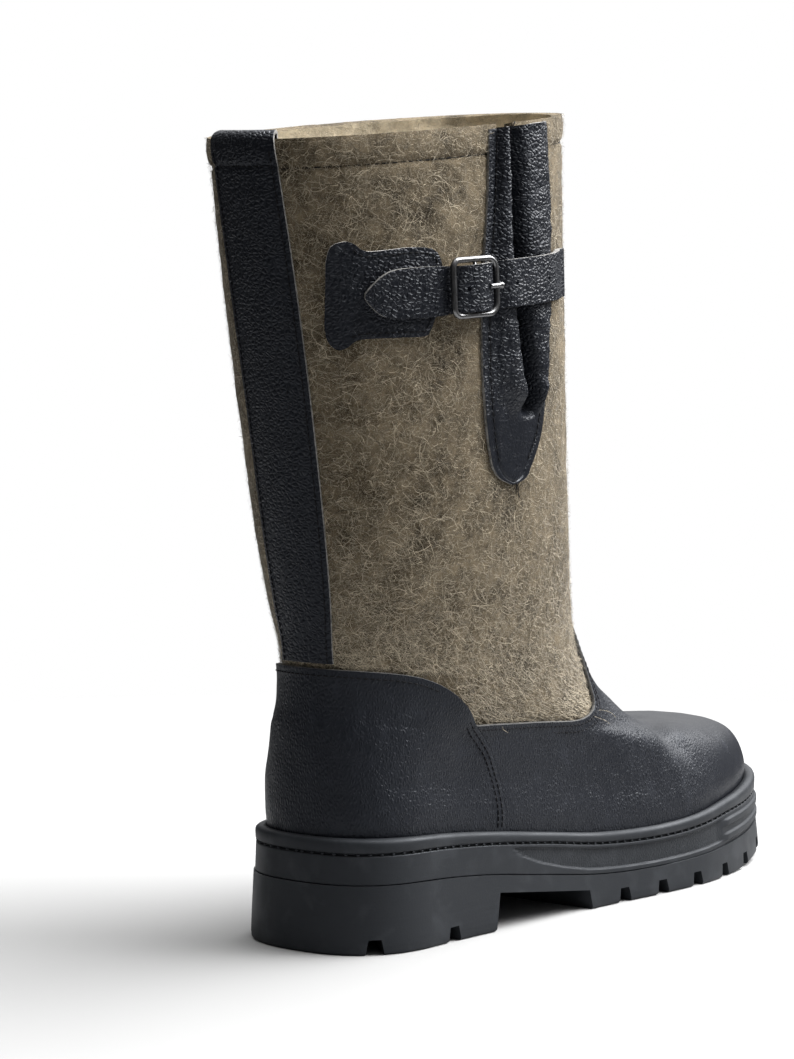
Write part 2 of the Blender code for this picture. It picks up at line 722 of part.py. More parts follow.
def lug_cuts(cutters):
    """Channels cut inward from the edge of heel and forefoot, square to the outline."""
    mesh = bpy.data.meshes.new("lug_cuts")
    shape = bmesh.new()
    for station in LUG_STATIONS:
        turn = math.acos(1.0 - 2.0 * (station - SOLE_BACK) / SOLE_LENGTH)
        for side_turn in (turn, 2.0 * math.pi - turn):
            edge = plan_point(np.array((side_turn,)))[0]
            outward = plan_normal(np.array((side_turn,)))[0]
            top = float(underside(edge[0])) + LUG_CUT_HEIGHT
            size = Vector((2.0 * LUG_CUT_REACH, LUG_CUT_WIDTH, 2.0 * top))
            heading = math.atan2(outward[1], outward[0])
            place = Matrix.Translation(Vector((edge[0], edge[1], 0.0)) * MM)
            place = place @ Matrix.Rotation(heading, 4, "Z") @ Matrix.Diagonal((*(size * MM), 1.0))
            bmesh.ops.create_cube(shape, size=1.0, matrix=place)
    shape.to_mesh(mesh)
    shape.free()
    return make_cutter("lug_cuts", mesh, cutters)


def make_outsole(parts, cutters, rubber):
    turn = even_turns(SOLE_TURNS)
    x = plan_point(turn)[:, 0]
    low = underside(x)
    rings = [sole_ring(turn, low, EDGE_ROUND),
             sole_ring(turn, low + EDGE_ROUND, 0.0),
             sole_ring(turn, level("parting", x) - GAP, OUTSOLE_TOP_INSET)]
    outsole = finish("outsole", loft_mesh("outsole", rings), parts, rubber)
    half = 2.0 * HEEL_HALF_WIDTH
    waist = make_cutter("waist", prism_mesh("waist", WAIST, -half, half), cutters)
    combine(outsole, waist, "DIFFERENCE")
    combine(outsole, lug_cuts(cutters), "DIFFERENCE")


def wall_relief(x, share):
    """The recessed side panel of the forefoot and the ribs round the toe."""
    low_edge = np.interp(x, PANEL[:, 0], PANEL[:, 1])
    along = (x > PANEL[0, 0]) & (x < PANEL[-1, 0])
    in_panel = along & (share > low_edge) & (share < PANEL_TOP_SHARE)
    at_toe = np.clip((x - RIB_START) / RIB_RUN, 0.0, 1.0)
    rib = RIB_HEIGHT * at_toe * (1.0 - math.cos(RIBS * 2.0 * math.pi * share)) / 2.0
    return np.where(in_panel, PANEL_DEPTH, 0.0) - rib


def make_midsole(parts, rubber):
    """A cup: bottom, wall, stitched groove and bead outside, then the rim's inner face and the floor."""
    turn = even_turns(SOLE_TURNS)
    x = plan_point(turn)[:, 0]
    foot = level("parting", x)
    wall_top = level("groove", x) - GROOVE_UNDER
    rings = []
    for share in WALL_SHARES:
        inset = WALL_FOOT_INSET + (WALL_TOP_INSET - WALL_FOOT_INSET) * share + wall_relief(x, share)
        rings.append(sole_ring(turn, foot + (wall_top - foot) * share, inset))
    for name, over, inset in BEAD:
        rings.append(sole_ring(turn, level(name, x) + over, inset))
    clear = np.full(turn.shape, PANEL_GAP + LEATHER + RIM_GAP)
    inner_x = felt_form(turn, np.zeros(SOLE_TURNS))[:, 0]
    bead = level("bead", inner_x)
    rings.append(felt_at(turn, rise_at(turn, bead, high=CUP_RISE), clear))
    floor = felt_at(turn, np.zeros(SOLE_TURNS), clear)
    floor[:, 2] -= GAP
    rings.append(floor)
    finish("midsole", loft_mesh("midsole", rings), parts, rubber)


def make_insole(parts, felt):
    turn = even_turns(TURNS)
    outline = felt_at(turn, np.zeros(TURNS), np.full(TURNS, -FELT - 2.0 * GAP))
    thickness = np.array((0.0, 0.0, INSOLE))
    finish("insole", loft_mesh("insole", [outline, outline + thickness]), parts, felt)


def main():
    clear_scene()
    parts = make_collection("felt_boot")
    cutters = make_collection("felt_boot_cutters")
    felt = make_material("wool_felt")
    footbed = make_material("footbed_felt")
    leather = make_material("pebbled_leather")
    rubber = make_material("black_rubber")
    steel = make_material("polished_steel")
    make_outsole(parts, cutters, rubber)
    make_midsole(parts, rubber)
    make_insole(parts, footbed)
    make_upper(parts, cutters, felt)
    make_foot_leather(parts, leather)
    make_back_strip(parts, leather)
    make_gusset(parts, leather)
    make_tab(parts, leather)
    make_strap(parts, leather)
    make_buckle(parts, cutters, steel)


main()
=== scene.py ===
"""Felt boot: its felt, leather, rubber and steel as they look, with the stage and the camera.

Lengths in the tables are millimetres and are turned into metres when a mesh is made.
"""

import math

import bmesh
import bpy
import numpy as np
from bpy.props import FloatProperty, FloatVectorProperty, IntProperty, PointerProperty
from mathutils import Matrix, Vector, noise


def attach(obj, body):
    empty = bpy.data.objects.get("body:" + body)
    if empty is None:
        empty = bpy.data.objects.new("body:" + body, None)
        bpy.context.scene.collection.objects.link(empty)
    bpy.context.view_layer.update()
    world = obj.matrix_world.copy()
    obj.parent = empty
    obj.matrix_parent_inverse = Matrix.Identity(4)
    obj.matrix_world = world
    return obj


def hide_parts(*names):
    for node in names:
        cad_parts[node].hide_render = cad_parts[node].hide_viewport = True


bl_info = {
    "name": "Felt boot",
    "version": (1, 0, 0),
    "blender": (4, 5, 0),
    "location": "3D View > Sidebar > Boot",
    "description": "Builds the felt boot's visible pieces on its packed frame",
    "category": "Object",
}

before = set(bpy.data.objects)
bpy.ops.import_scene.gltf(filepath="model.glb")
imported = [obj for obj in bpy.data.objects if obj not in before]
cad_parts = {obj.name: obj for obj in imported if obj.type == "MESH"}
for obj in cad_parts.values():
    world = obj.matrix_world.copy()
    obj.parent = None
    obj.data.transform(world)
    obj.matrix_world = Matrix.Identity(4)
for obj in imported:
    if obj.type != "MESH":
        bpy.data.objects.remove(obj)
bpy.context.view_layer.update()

MM = 0.001
MERGE = 1e-6
GAP = 0.3
FULL_TURN = 2.0 * math.pi
# Steps by which the slope of the felt and of a sheet is taken
STEP = 1e-3
FACE_STEP = 2e-3

# Sole outline and levels
HEEL_HALF_WIDTH = 39.5
SOLE_LENGTH = 309.0
SOLE_BACK = -HEEL_HALF_WIDTH
SOLE_TOE = SOLE_BACK + SOLE_LENGTH
HEEL_ROUND = 0.13
TOE_ROUND = 0.24
SOLE_CORNER = 2.4
TOE_SWING = 6.0
SWING_START = 120.0
PLAN_COLUMNS = ("share", "outer", "inner")
PLAN = np.array((
    (0.00, 39.5, 39.5),
    (0.13, 39.5, 39.5),
    (0.33, 44.5, 37.5),
    (0.48, 48.5, 38.5),
    (0.60, 53.5, 43.5),
    (0.70, 55.8, 48.5),
    (0.78, 53.5, 50.0),
    (0.87, 50.5, 49.5),
    (1.00, 48.0, 47.0),
))
LEVEL_COLUMNS = ("x", "bead", "groove", "parting")
LEVELS = np.array((
    (SOLE_BACK, 45.0, 38.6, 27.0),
    (0.0, 43.5, 37.6, 26.0),
    (30.0, 40.7, 35.4, 23.5),
    (70.0, 35.4, 30.8, 18.0),
    (105.0, 30.7, 25.9, 13.4),
    (150.0, 29.2, 24.1, 12.0),
    (200.0, 33.2, 27.4, 14.0),
    (244.0, 37.3, 29.6, 17.2),
    (SOLE_TOE, 39.4, 31.2, 19.0),
))

# Rings of the felt from the sole up to the collar
RING_COLUMNS = ("back_x", "back_z", "front_x", "front_z", "outer", "inner",
                "oval", "heel_round", "toe_round", "corner", "sag", "roll")
RINGS = np.array((
    (-32.0, 39.7, 258.0, 33.6, 48.3, 42.2, 0.00, 0.13, 0.24, 2.4, 1.0, 0.0),
    (-32.6, 52.0, 260.0, 43.6, 48.8, 43.0, 0.05, 0.13, 0.25, 2.4, 1.0, 0.0),
    (-32.5, 65.0, 253.0, 54.2, 46.0, 42.5, 0.15, 0.14, 0.28, 2.4, 0.9, 0.0),
    (-32.3, 76.0, 235.0, 59.5, 43.0, 40.5, 0.35, 0.17, 0.34, 2.3, 0.6, 0.0),
    (-32.0, 85.0, 211.0, 61.0, 40.5, 39.0, 0.55, 0.20, 0.40, 2.2, 0.3, 0.0),
    (-31.5, 92.0, 186.0, 63.5, 39.0, 38.0, 0.75, 0.26, 0.46, 2.1, 0.1, 0.0),
    (-31.3, 99.0, 161.0, 73.5, 39.5, 38.5, 0.90, 0.36, 0.48, 2.1, 0.0, 0.0),
    (-31.5, 107.0, 142.0, 87.0, 40.5, 39.5, 1.00, 0.46, 0.50, 2.1, 0.0, 0.0),
    (-32.5, 118.0, 129.0, 104.0, 42.0, 41.0, 1.00, 0.50, 0.50, 2.1, 0.0, 0.0),
    (-35.5, 135.0, 121.0, 125.0, 44.5, 43.5, 1.00, 0.50, 0.50, 2.2, 0.0, 0.0),
    (-40.5, 163.0, 115.0, 160.0, 48.5, 47.5, 1.00, 0.50, 0.50, 2.2, 0.0, 0.0),
    (-49.5, 212.0, 111.0, 215.0, 50.5, 49.5, 1.00, 0.50, 0.50, 2.2, 0.0, 0.0),
    (-59.0, 258.0, 110.0, 267.0, 50.5, 49.5, 1.00, 0.50, 0.50, 2.2, 0.0, 0.2),
    (-70.0, 308.0, 113.0, 325.0, 47.5, 46.5, 1.00, 0.50, 0.50, 2.2, 0.0, 1.0),
))
LAST_RING = len(RINGS) - 1
RING_HALF_WIDTH = 50.0
SHAFT_LOW_RISE = 0.4

# Walls
FELT = 4.0
RIM_LIFT = 1.2
LEATHER = 1.6
PANEL_GAP = 0.45
PANEL_FACE = PANEL_GAP + LEATHER
RIM_GAP = 0.2
# Rounding of cut edges, and the angle in degrees over which an edge is rounded
LEATHER_EDGE_ROUND = 0.3
TAB_EDGE_ROUND = 0.4
STRAP_EDGE_ROUND = 0.35
WALL_EDGE_ANGLE = 55.0

# Fibres drawn in the felt's colour: turns of their directions in degrees, size in metres, cut of the noise
FIBRE_WAYS = ((0, 8, -5), (0, -20, -35), (0, 35, -20), (0, -62, -40), (0, 15, -70), (0, -40, -85))
FIBRE_SIZE = (0.0045, 0.00036, 0.00036)
FIBRE_CUT = (0.64, 0.76)

# Felt: rows crowd into the part that shows, size and height of its lumps, the sewn line under the rim
FELT_COLUMNS = 280
FELT_ROWS = 150
FELT_ROW_SHARES = (0.0, 0.12, 0.80, 0.9933, 1.0)
FELT_ROW_RISES = (0.0, 0.30, 0.955, 0.997, 1.0)
FELT_RIM_ROUND = 1.8
FELT_LUMPS = ((17.0, 0.45), (6.0, 0.28), (2.6, 0.16))
HEM_DROP = 11.0
HEM_DEPTH = 0.9
HEM_WIDTH = 1.0
HEM_PUFF = 0.7
HEM_LOW_RISE = 0.8
UNDER_LEATHER = 0.4

# Sheets of leather: columns and rows of their grids, size and height of their lumps
COUNTER_GRID = (170, 70)
COUNTER_LUMPS = (9.0, 0.18)
VAMP_GRID = (300, 84)
VAMP_LUMPS = (8.0, 0.16)
STRIP_COLUMNS = 30
STRIP_LUMPS = (7.0, 0.12)
GUSSET_GRID = (120, 130)
TAB_GRID = (80, 44)
TAB_LUMPS = (6.0, 0.15)
STRAP_GRID = (24, 220)

# Leather on the foot: the top edges, and how the counter stands up along its front edges
COUNTER_RING = 7.2
COUNTER_TURN = math.radians(64.0)
COUNTER_EDGE = math.radians(62.4)
COUNTER_POWER = 7.5
COUNTER_PROUD = 0.8
COUNTER_PROUD_START = 0.82
COUNTER_PROUD_RUN = 0.18
VAMP_EDGE = math.radians(62.65)
# Turn in radians from which the top edge of the vamp is read
VAMP_TABLE_START = 1.05
# Top edge of the vamp: turn in degrees, ring
VAMP_TOP = np.array((
    (60.0, 4.75),
    (77.0, 5.05),
    (91.0, 5.28),
    (103.0, 5.40),
    (113.0, 5.75),
    (122.0, 6.20),
    (130.0, 6.75),
    (142.0, 7.55),
    (158.0, 8.60),
    (180.0, 9.10),
))

# Creases: depth and half width in mm, then turn in degrees and ring of the points it runs through
CREASE_POINTS = 48
CREASE_ENDS = (0.04, 0.96)
CREASE_FADE = 0.6
VAMP_CREASES = (
    (-2.6, 6.5, ((178.5, 4.40), (142.0, 4.60), (121.5, 3.55), (119.0, 2.90), (118.5, 2.40))),
    (1.1, 9.0, ((150.0, 6.40), (134.0, 5.60), (123.0, 4.70), (115.0, 3.60))),
    (-2.2, 7.0, ((182.0, 4.45), (212.0, 4.70), (226.0, 4.20), (238.0, 3.50), (241.0, 2.70))),
    (1.0, 9.0, ((212.0, 6.40), (228.0, 5.50), (240.0, 4.50))),
    (-0.16, 2.6, ((98.0, 3.30), (94.5, 2.30), (93.0, 1.40))),
    (-0.14, 2.4, ((106.0, 3.60), (102.0, 2.60), (101.0, 1.70))),
    (-0.12, 2.2, ((85.0, 3.60), (83.0, 2.40), (84.0, 1.50))),
    (-0.40, 2.4, ((262.0, 3.40), (266.0, 2.40), (267.0, 1.60))),
    (-0.35, 2.2, ((252.0, 3.60), (257.0, 2.50))),
)
COUNTER_CREASES = (
    (-0.22, 1.6, ((23.5, 4.50), (35.0, 4.50), (42.5, 4.30), (52.0, 3.85))),
    (-0.15, 1.6, ((26.5, 2.00), (34.5, 1.85), (47.5, 2.30))),
    (0.35, 4.0, ((12.0, 3.40), (30.0, 3.20), (50.0, 3.10))),
    (-0.30, 1.6, ((-20.0, 4.20), (-34.0, 4.30), (-50.0, 3.70))),
)

# Where leather is drawn smooth: place along the foot or height where that starts, and its run to full
TOE_POLISH = (165.0, 40.0)
GUSSET_POLISH = (212.0, -12.0)

# Strip of leather up the back
STRIP_TURN = math.radians(15.0)
STRIP_LOW_RING = 7.4
STRIP_FOLD_RINGS = 0.24
STRIP_CROSS_RINGS = 0.19
STRIP_PUFF = 0.6
STRIP_DENT = 0.5
STRIP_DENT_WIDTH = 0.1
STRIP_LEG_ROWS = 56
STRIP_HEM_ROWS = 24
STRIP_OVER_ROWS = 15
STRIP_INSIDE_ROWS = 6

# Gusset: height, back edge, front edge, and where its valley lies as a share of the half width
GUSSET = np.array((
    (177.4, 33.0, 36.0, 0.20),
    (179.2, 27.5, 41.5, 0.20),
    (183.5, 21.7, 45.5, 0.22),
    (189.0, 19.2, 49.2, 0.25),
    (196.0, 17.2, 53.0, 0.42),
    (204.0, 15.6, 55.2, 0.42),
    (212.0, 14.4, 56.6, 0.34),
    (220.0, 13.4, 57.6, 0.20),
    (230.0, 12.7, 58.3, 0.07),
    (243.0, 12.4, 59.4, -0.07),
    (268.0, 14.2, 61.6, -0.26),
    (292.0, 17.8, 62.8, -0.36),
    (316.0, 20.4, 62.2, -0.44),
))
GUSSET_CROWD = 1.3
GUSSET_CLEAR = 1.0
GUSSET_SEAM = 4.0
SEAM_DEPTH = 0.5
SEAM_WIDTH = 0.9
GUSSET_FLAT = 1.5
GUSSET_WALL = 1.2
GUSSET_TILT = 0.115
TILT_START = 222.0
ROLL_END = 206.5
ROLL_END_SLANT = 4.5
ROLL_END_SIDE = -0.45
ROLL_END_SPREAD = 0.35
ROLL_RUN = 11.5
ROLL_RUN_SLANT = 2.0
FRONT_RUN = 15.0
FRONT_SIDE = 0.40
FRONT_SPREAD = 0.45
SLIT_HALF = 5.8
SLIT_LOW = 200.0
# Wrinkles on the rolls: size and height, stretch, and the lift at which they start and grow
WRINKLES = (2.8, 0.6)
WRINKLE_STRETCH = (0.45, 0.3, 1.0)
WRINKLE_LIFT = 2.2
WRINKLE_RUN = 2.0
# Pleat across the gusset: place as a share of the half width, lift off the felt
PLEAT = np.array((
    (-1.00, 1.1),
    (-0.86, 1.5),
    (-0.72, 2.1),
    (-0.56, 4.2),
    (-0.36, 5.5),
    (-0.19, 4.2),
    (-0.12, 0.0),
    (-0.10, -6.0),
    (-0.08, -11.0),
    (0.13, -11.0),
    (0.17, -6.0),
    (0.21, 0.0),
    (0.29, 3.8),
    (0.42, 5.4),
    (0.58, 5.8),
    (0.74, 5.0),
    (0.88, 3.4),
    (1.00, 1.2),
))

# Patch that holds the buckle: place and height of its low edge, then of its high edge
TAB = np.array((
    (-48.3, 240.0, -50.8, 262.2),
    (-47.1, 234.8, -50.7, 267.0),
    (-45.7, 232.2, -49.8, 269.4),
    (-44.0, 230.7, -47.7, 270.5),
    (-42.1, 231.6, -45.4, 270.6),
    (-40.7, 233.4, -43.5, 269.5),
    (-39.0, 234.5, -41.3, 267.7),
    (-35.0, 234.9, -37.5, 267.1),
    (-25.2, 235.2, -25.2, 268.5),
    (-16.4, 235.6, -16.4, 268.4),
    (-14.0, 238.1, -12.4, 267.0),
    (-12.5, 242.0, -10.2, 263.5),
    (-11.0, 247.0, -9.0, 258.0),
))

# Strap from its sewn end to its tip: place, height, lift of its back, width
STRAP = np.array((
    (76.0, 259.3, 0.5, 19.0),
    (70.0, 258.9, 0.7, 19.0),
    (64.0, 258.4, 2.6, 18.7),
    (58.0, 257.9, 4.4, 18.4),
    (52.0, 257.4, 6.0, 18.1),
    (46.0, 256.9, 6.8, 18.0),
    (38.0, 256.2, 6.9, 18.0),
    (29.0, 255.6, 6.5, 18.0),
    (21.6, 255.0, 5.8, 18.0),
    (16.4, 254.5, 2.4, 18.0),
    (14.0, 254.3, 2.5, 18.0),
    (9.8, 254.0, 6.0, 17.8),
    (3.3, 253.5, 7.3, 17.6),
    (-3.2, 253.0, 5.4, 17.6),
    (-7.1, 252.7, 2.5, 17.8),
    (-9.1, 252.5, 2.35, 18.2),
    (-15.8, 252.1, 2.35, 18.8),
    (-22.4, 251.8, 2.35, 18.8),
    (-28.2, 251.5, 2.35, 18.4),
    (-31.9, 251.3, 2.35, 17.0),
    (-34.7, 251.2, 2.35, 13.8),
    (-37.0, 251.1, 2.35, 9.0),
    (-38.6, 251.0, 2.35, 4.6),
    (-39.5, 250.9, 2.35, 1.6),
))
STRAP_THICK = 2.0
STRAP_TIP_WIDTH = 1.0
STRAP_HOLES = (-1.7, 24.5, 46.0)
# Holes in the strap are dark discs of painted shade, laid just over its face
HOLE_RADIUS = 0.8
HOLE_SIDES = 16
HOLE_LIFT = 0.04
HOLE_SEARCH = 600
HOLE_STEP_ALONG = 0.004
HOLE_STEP_UP = 0.05

# Buckle
BUCKLE_X = 3.3
BUCKLE_HEIGHT = 253.8
BUCKLE_LIFT = 5.8
BUCKLE_SLOPE = math.tan(math.radians(3.0))
BUCKLE_BAR_REACH = 11.6
BUCKLE_SIDE_REACH = 10.5
BUCKLE_BACK_CORNER = 3.0
BUCKLE_FRONT_CORNER = 4.4
WIRE = 1.2
BAR_SHARE = 0.6
BAR_POINTS = 6
PRONG = 0.95
PRONG_START = 5.4
PRONG_END = 12.6
PRONG_BALL = 0.4
PRONG_BALL_PLACE = 0.84
PRONG_BALL_SPREAD = 0.13
PRONG_TIP_START = 0.88
PRONG_TIP_RUN = 0.12
PRONG_TIP_LEAST = 0.02
PRONG_POINTS = 22

# Midsole
SOLE_COLUMNS = 440
WALL_ROWS = 42
WALL_FOOT_INSET = 1.8
WALL_TOP_INSET = 2.2
GROOVE_UNDER = 1.1
CUP_FOOT_INSET = 9.0
CUP_RISE = 0.2
BEAD_LAP = 0.2
# Groove and bead: level they hang on, height over it, set-in from the sole's outline
BEAD = (
    ("groove", -0.7, 2.25),
    ("groove", -0.5, 2.6),
    ("groove", -0.35, 3.6),
    ("groove", 0.35, 3.6),
    ("groove", 0.5, 2.6),
    ("groove", 0.7, 2.15),
    ("groove", 1.0, 2.0),
    ("bead", -3.0, 1.9),
    ("bead", -2.0, 2.0),
    ("bead", -1.3, 2.3),
    ("bead", -0.8, 2.9),
    ("bead", -0.35, 3.8),
)
# Low edge of the recessed panel: place along the foot, share of the wall's height
PANEL = np.array((
    (47.0, 1.00),
    (50.0, 0.85),
    (54.0, 0.60),
    (66.0, 0.36),
    (80.0, 0.22),
    (97.0, 0.14),
    (190.0, 0.14),
))
PANEL_TOP_SHARE = 0.95
PANEL_DEPTH = 1.1
PANEL_LOW_EASE = 0.07
PANEL_TOP_EASE = 0.05
PANEL_END_EASE = 3.0
RIB_START = 190.0
RIB_RUN = 4.0
RIB_HEIGHT = 1.1
RIBS = 2
RIB_EDGE = 2.2

# Outsole
SPRING_START = 190.0
SPRING = 9.0
EDGE_ROUND = 1.5
OUTSOLE_TOP_INSET = 1.2
OUTSOLE_ROUND_ROWS = 5
OUTSOLE_WALL_ROWS = 6
OUTSOLE_SHARP_ANGLE = 35.0
CUT_EDGE_ROUND = 0.35
CUT_EDGE_ANGLE = 40.0
WAIST = ((35.0, -5.0), (39.0, 15.2), (95.0, 8.0), (97.0, -5.0))
LUG_STATIONS = (-28.0, 11.0, 117.0, 141.0, 165.0, 189.0, 213.0, 237.0)
LUG_CUT_WIDTH = 10.3
LUG_CUT_TAPER = 0.495
LUG_CUT_HEIGHT = 6.0
LUG_CUT_REACH = 20.0

# Stitches: the pitch at the hem and in the groove is a multiple of the pitch on leather
STITCH_GAP = 0.35
STITCH_THICK = 0.62
STITCH_LIFT = 0.05
HEM_STITCH_PITCH = 1.5
HEM_STITCH_THICK = 0.55
HEM_STITCH_LIFT = 0.1
HEM_POINTS = 500
GROOVE_STITCH_PITCH = 1.8
GROOVE_STITCH_LENGTH = 1.5
GROOVE_STITCH_THICK = 1.0
GROOVE_STITCH_INSET = 2.6
GROOVE_POINTS = 900
CROSS_REACH = 0.8
CROSS_POINTS = 40

# Loose wool: seed, shortest, longest, how far its ends stand off, width, joints
NAP = (20, 1.5, 5.0, 0.6, 0.18, 3)
HAIRS = (21, 4.0, 12.0, 1.2, 0.18, 6)
FIBRE_SPREAD = 0.85
FIBRE_CURL = 0.9
FIBRE_STAND = (-0.4, 1.0)
FIBRE_LIFT = 0.25
FIBRE_LIFT_POWER = 1.5
FIBRE_DIP = -0.2
FIBRE_LOW_RISE = 0.3
FIBRE_TAPER = 0.45
FIBRE_WIDTHS = (0.6, 1.2)
FIBRE_SHADES = (1.1, 1.15)

# Loose ends: place along the boot, height and lift of a thread, or turn, ring and lift of a hair
LOOSE_THREADS = (
    ((34.5, 178.4, 1.9), (35.6, 176.4, 2.4), (36.4, 174.0, 2.0), (38.4, 172.2, 1.4)),
    ((35.6, 177.8, 1.8), (34.6, 175.4, 2.3), (35.4, 173.6, 1.8)),
    ((33.0, 312.0, 0.8), (33.8, 314.4, 2.2), (35.2, 316.6, 2.6), (36.4, 317.2, 2.0)),
)
THREAD_RADIUS = 0.22
LOOSE_HAIRS = (
    ((119.0, 5.85, 0.1), (121.0, 5.78, 1.1), (122.6, 5.60, 1.4), (123.0, 5.40, 0.7)),
    ((72.0, 4.85, 0.1), (71.0, 4.60, 0.8), (71.6, 4.30, 0.6)),
    ((112.0, 5.60, 0.1), (113.5, 5.30, 0.8), (113.0, 5.00, 0.5)),
)
HAIR_RADIUS = 0.06
LOOSE_POINTS = 14

# Grain of leather: cell in mm, where its crown goes flat, depth in mm, roughness, stretch along the axes
FINE_GRAIN = (1.6, 0.44, 0.25, 0.46, (1.3, 1.3, 0.8))
COARSE_GRAIN = (2.0, 0.34, 0.36, 0.40, (1.0, 1.0, 1.25))
RUBBER_ROUGHNESS = 0.54

# Shades of the cut edge's colour and of the pale wool
# The tab's cut edge is twice as pale: partly its pale raw cut, partly painted light on an edge that faces
# away from the lamps
PAINTED_LIGHT_EDGE = 2.0
# The vamp's and counter's cut edges are darker: painted shade, as the lamps light these edges from above
PAINTED_SHADE_EDGE = 0.32
# The lining is pale wool, made paler still as painted light on the felt's inner face, which lies in shadow
LINING_SHADES_WITH_PAINTED_LIGHT = (0.5, 1.2, 1.35)

# Tint of the gloss on leather and rubber
COOL = (0.86, 0.91, 1.0, 1.0)

# Camera and stage in metres, lens and sensor in millimetres
CAMERA_PLACE = (-0.9705, -0.7600, 0.2596)
CAMERA_AIM = (0.0440, 0.0137, 0.1560)
CAMERA_LENS = 108.0
CAMERA_SENSOR = 36.0
FLOOR_RADIUS = 0.8
FLOOR_FADE = (0.38, 0.72)
FLOOR_SHADES = ((0.37, 0.37, 0.37), (0.385, 0.385, 0.385))
FLOOR_TURNS = 96
# Sky: side it is bright on, cosines between which it grows, strength there
SKY_LOBES = (
    ((0.72, 0.50, 0.48), 0.86, 0.98, 1.30),
    ((0.45, -0.55, 0.70), 0.30, 1.00, 0.30),
    ((0.0, 0.0, 1.0), 0.10, 1.00, 0.22),
)
# Soft lights: name, place in metres, width and height in metres, power in watts
LIGHTS = (
    ("side_softbox", (1.25, -0.70, 1.85), 2.2, 2.2, 205.0),
    ("overhead_softbox", (0.10, 0.0, 2.20), 2.2, 2.2, 30.0),
)
LIGHT_AIM = (0.06, 0.0, 0.16)


def through(value, stations, heights):
    """Smooth curve through the rows of a table."""
    value = np.asarray(value, float)
    slopes = np.gradient(heights, stations)
    low = np.clip(np.searchsorted(stations, value) - 1, 0, len(stations) - 2)
    span = stations[low + 1] - stations[low]
    share = (value - stations[low]) / span
    rest = 1.0 - share
    return ((1.0 + 2.0 * share) * rest ** 2 * heights[low]
            + share * rest ** 2 * span * slopes[low]
            + share ** 2 * (3.0 - 2.0 * share) * heights[low + 1]
            - share ** 2 * rest * span * slopes[low + 1])


def along_rows(share, table):
    """Smooth curves through the columns of a table, with share running from 0 to 1 down its rows."""
    rows = np.arange(len(table), dtype=float)
    place = np.asarray(share) * (len(table) - 1)
    return [through(place, rows, column) for column in table.T]


def eased(value):
    """Rises smoothly from 0 to 1 as the value does."""
    value = np.clip(value, 0.0, 1.0)
    return value * value * (3.0 - 2.0 * value)


def either_side(value, step):
    """A little less and a little more than a value, kept between 0 and 1."""
    return np.clip(value - step, 0.0, 1.0), np.clip(value + step, 0.0, 1.0)


def unit(vectors):
    return vectors / np.linalg.norm(vectors, axis=-1, keepdims=True)


def rounded_ends(share, heel_round, toe_round, corner):
    """One along the middle, falling to nothing in a round at each end."""
    heel = 1.0 - np.clip(share / heel_round, 0.0, 1.0)
    toe = 1.0 - np.clip((1.0 - share) / toe_round, 0.0, 1.0)
    return ((1.0 - heel ** corner) * (1.0 - toe ** corner)) ** (1.0 / corner)


def swing(x):
    """The toe bends to the inner side."""
    return TOE_SWING * np.clip((x - SWING_START) / (SOLE_TOE - SWING_START), 0.0, 1.0) ** 2


def level(name, x):
    column = LEVEL_COLUMNS.index(name)
    return through(np.clip(x, SOLE_BACK, SOLE_TOE), LEVELS[:, 0], LEVELS[:, column])


def plan_half(share, side):
    return through(share, PLAN[:, 0], PLAN[:, PLAN_COLUMNS.index(side)])


def plan_point(turn):
    share = (1.0 - np.cos(turn)) / 2.0
    x = SOLE_BACK + SOLE_LENGTH * share
    ends = rounded_ends(share, HEEL_ROUND, TOE_ROUND, SOLE_CORNER)
    outer = -plan_half(share, "outer") * ends
    inner = plan_half(share, "inner") * ends
    return np.stack((x, np.where(np.sin(turn) >= 0.0, outer, inner) + swing(x)), -1)


def plan_normal(turn):
    along = unit(plan_point(turn + STEP) - plan_point(turn - STEP))
    return np.stack((along[..., 1], -along[..., 0]), -1)


def sole_ring(turn, heights, inset):
    """The sole's outline, set in evenly, at a height for each of its points."""
    inset = np.broadcast_to(inset, turn.shape)
    outline = plan_point(turn) - plan_normal(turn) * inset[:, None]
    return np.column_stack((outline, heights))


def ring_value(rise, name):
    rings = np.arange(len(RINGS)) / LAST_RING
    return through(rise, rings, RINGS[:, RING_COLUMNS.index(name)])


def felt_form(turn, rise):
    """Outer face of the felt: turn round from the heel, rise 0 at the sole and 1 at the collar."""
    turn, rise = np.broadcast_arrays(np.asarray(turn, float), np.asarray(rise, float))
    row = {name: ring_value(rise, name) for name in RING_COLUMNS}
    share = (1.0 - np.cos(turn)) / 2.0
    x = row["back_x"] + (row["front_x"] - row["back_x"]) * share
    ends = rounded_ends(share, row["heel_round"], row["toe_round"], row["corner"])
    foot = 1.0 - row["oval"]
    outer_foot = row["outer"] + plan_half(share, "outer") - PLAN[:, 1].max()
    inner_foot = row["inner"] + plan_half(share, "inner") - PLAN[:, 2].max()
    outer = -(outer_foot * foot + row["outer"] * row["oval"]) * ends
    inner = (inner_foot * foot + row["inner"] * row["oval"]) * ends
    y = np.where(np.sin(turn) >= 0.0, outer, inner) + swing(x) * foot
    back_level = level("bead", row["back_x"])
    straight = back_level + (level("bead", row["front_x"]) - back_level) * share
    z = row["back_z"] + (row["front_z"] - row["back_z"]) * share
    z = z + row["sag"] * (level("bead", x) - straight) + row["roll"] * y / RING_HALF_WIDTH
    return np.stack((x, y, z), -1)


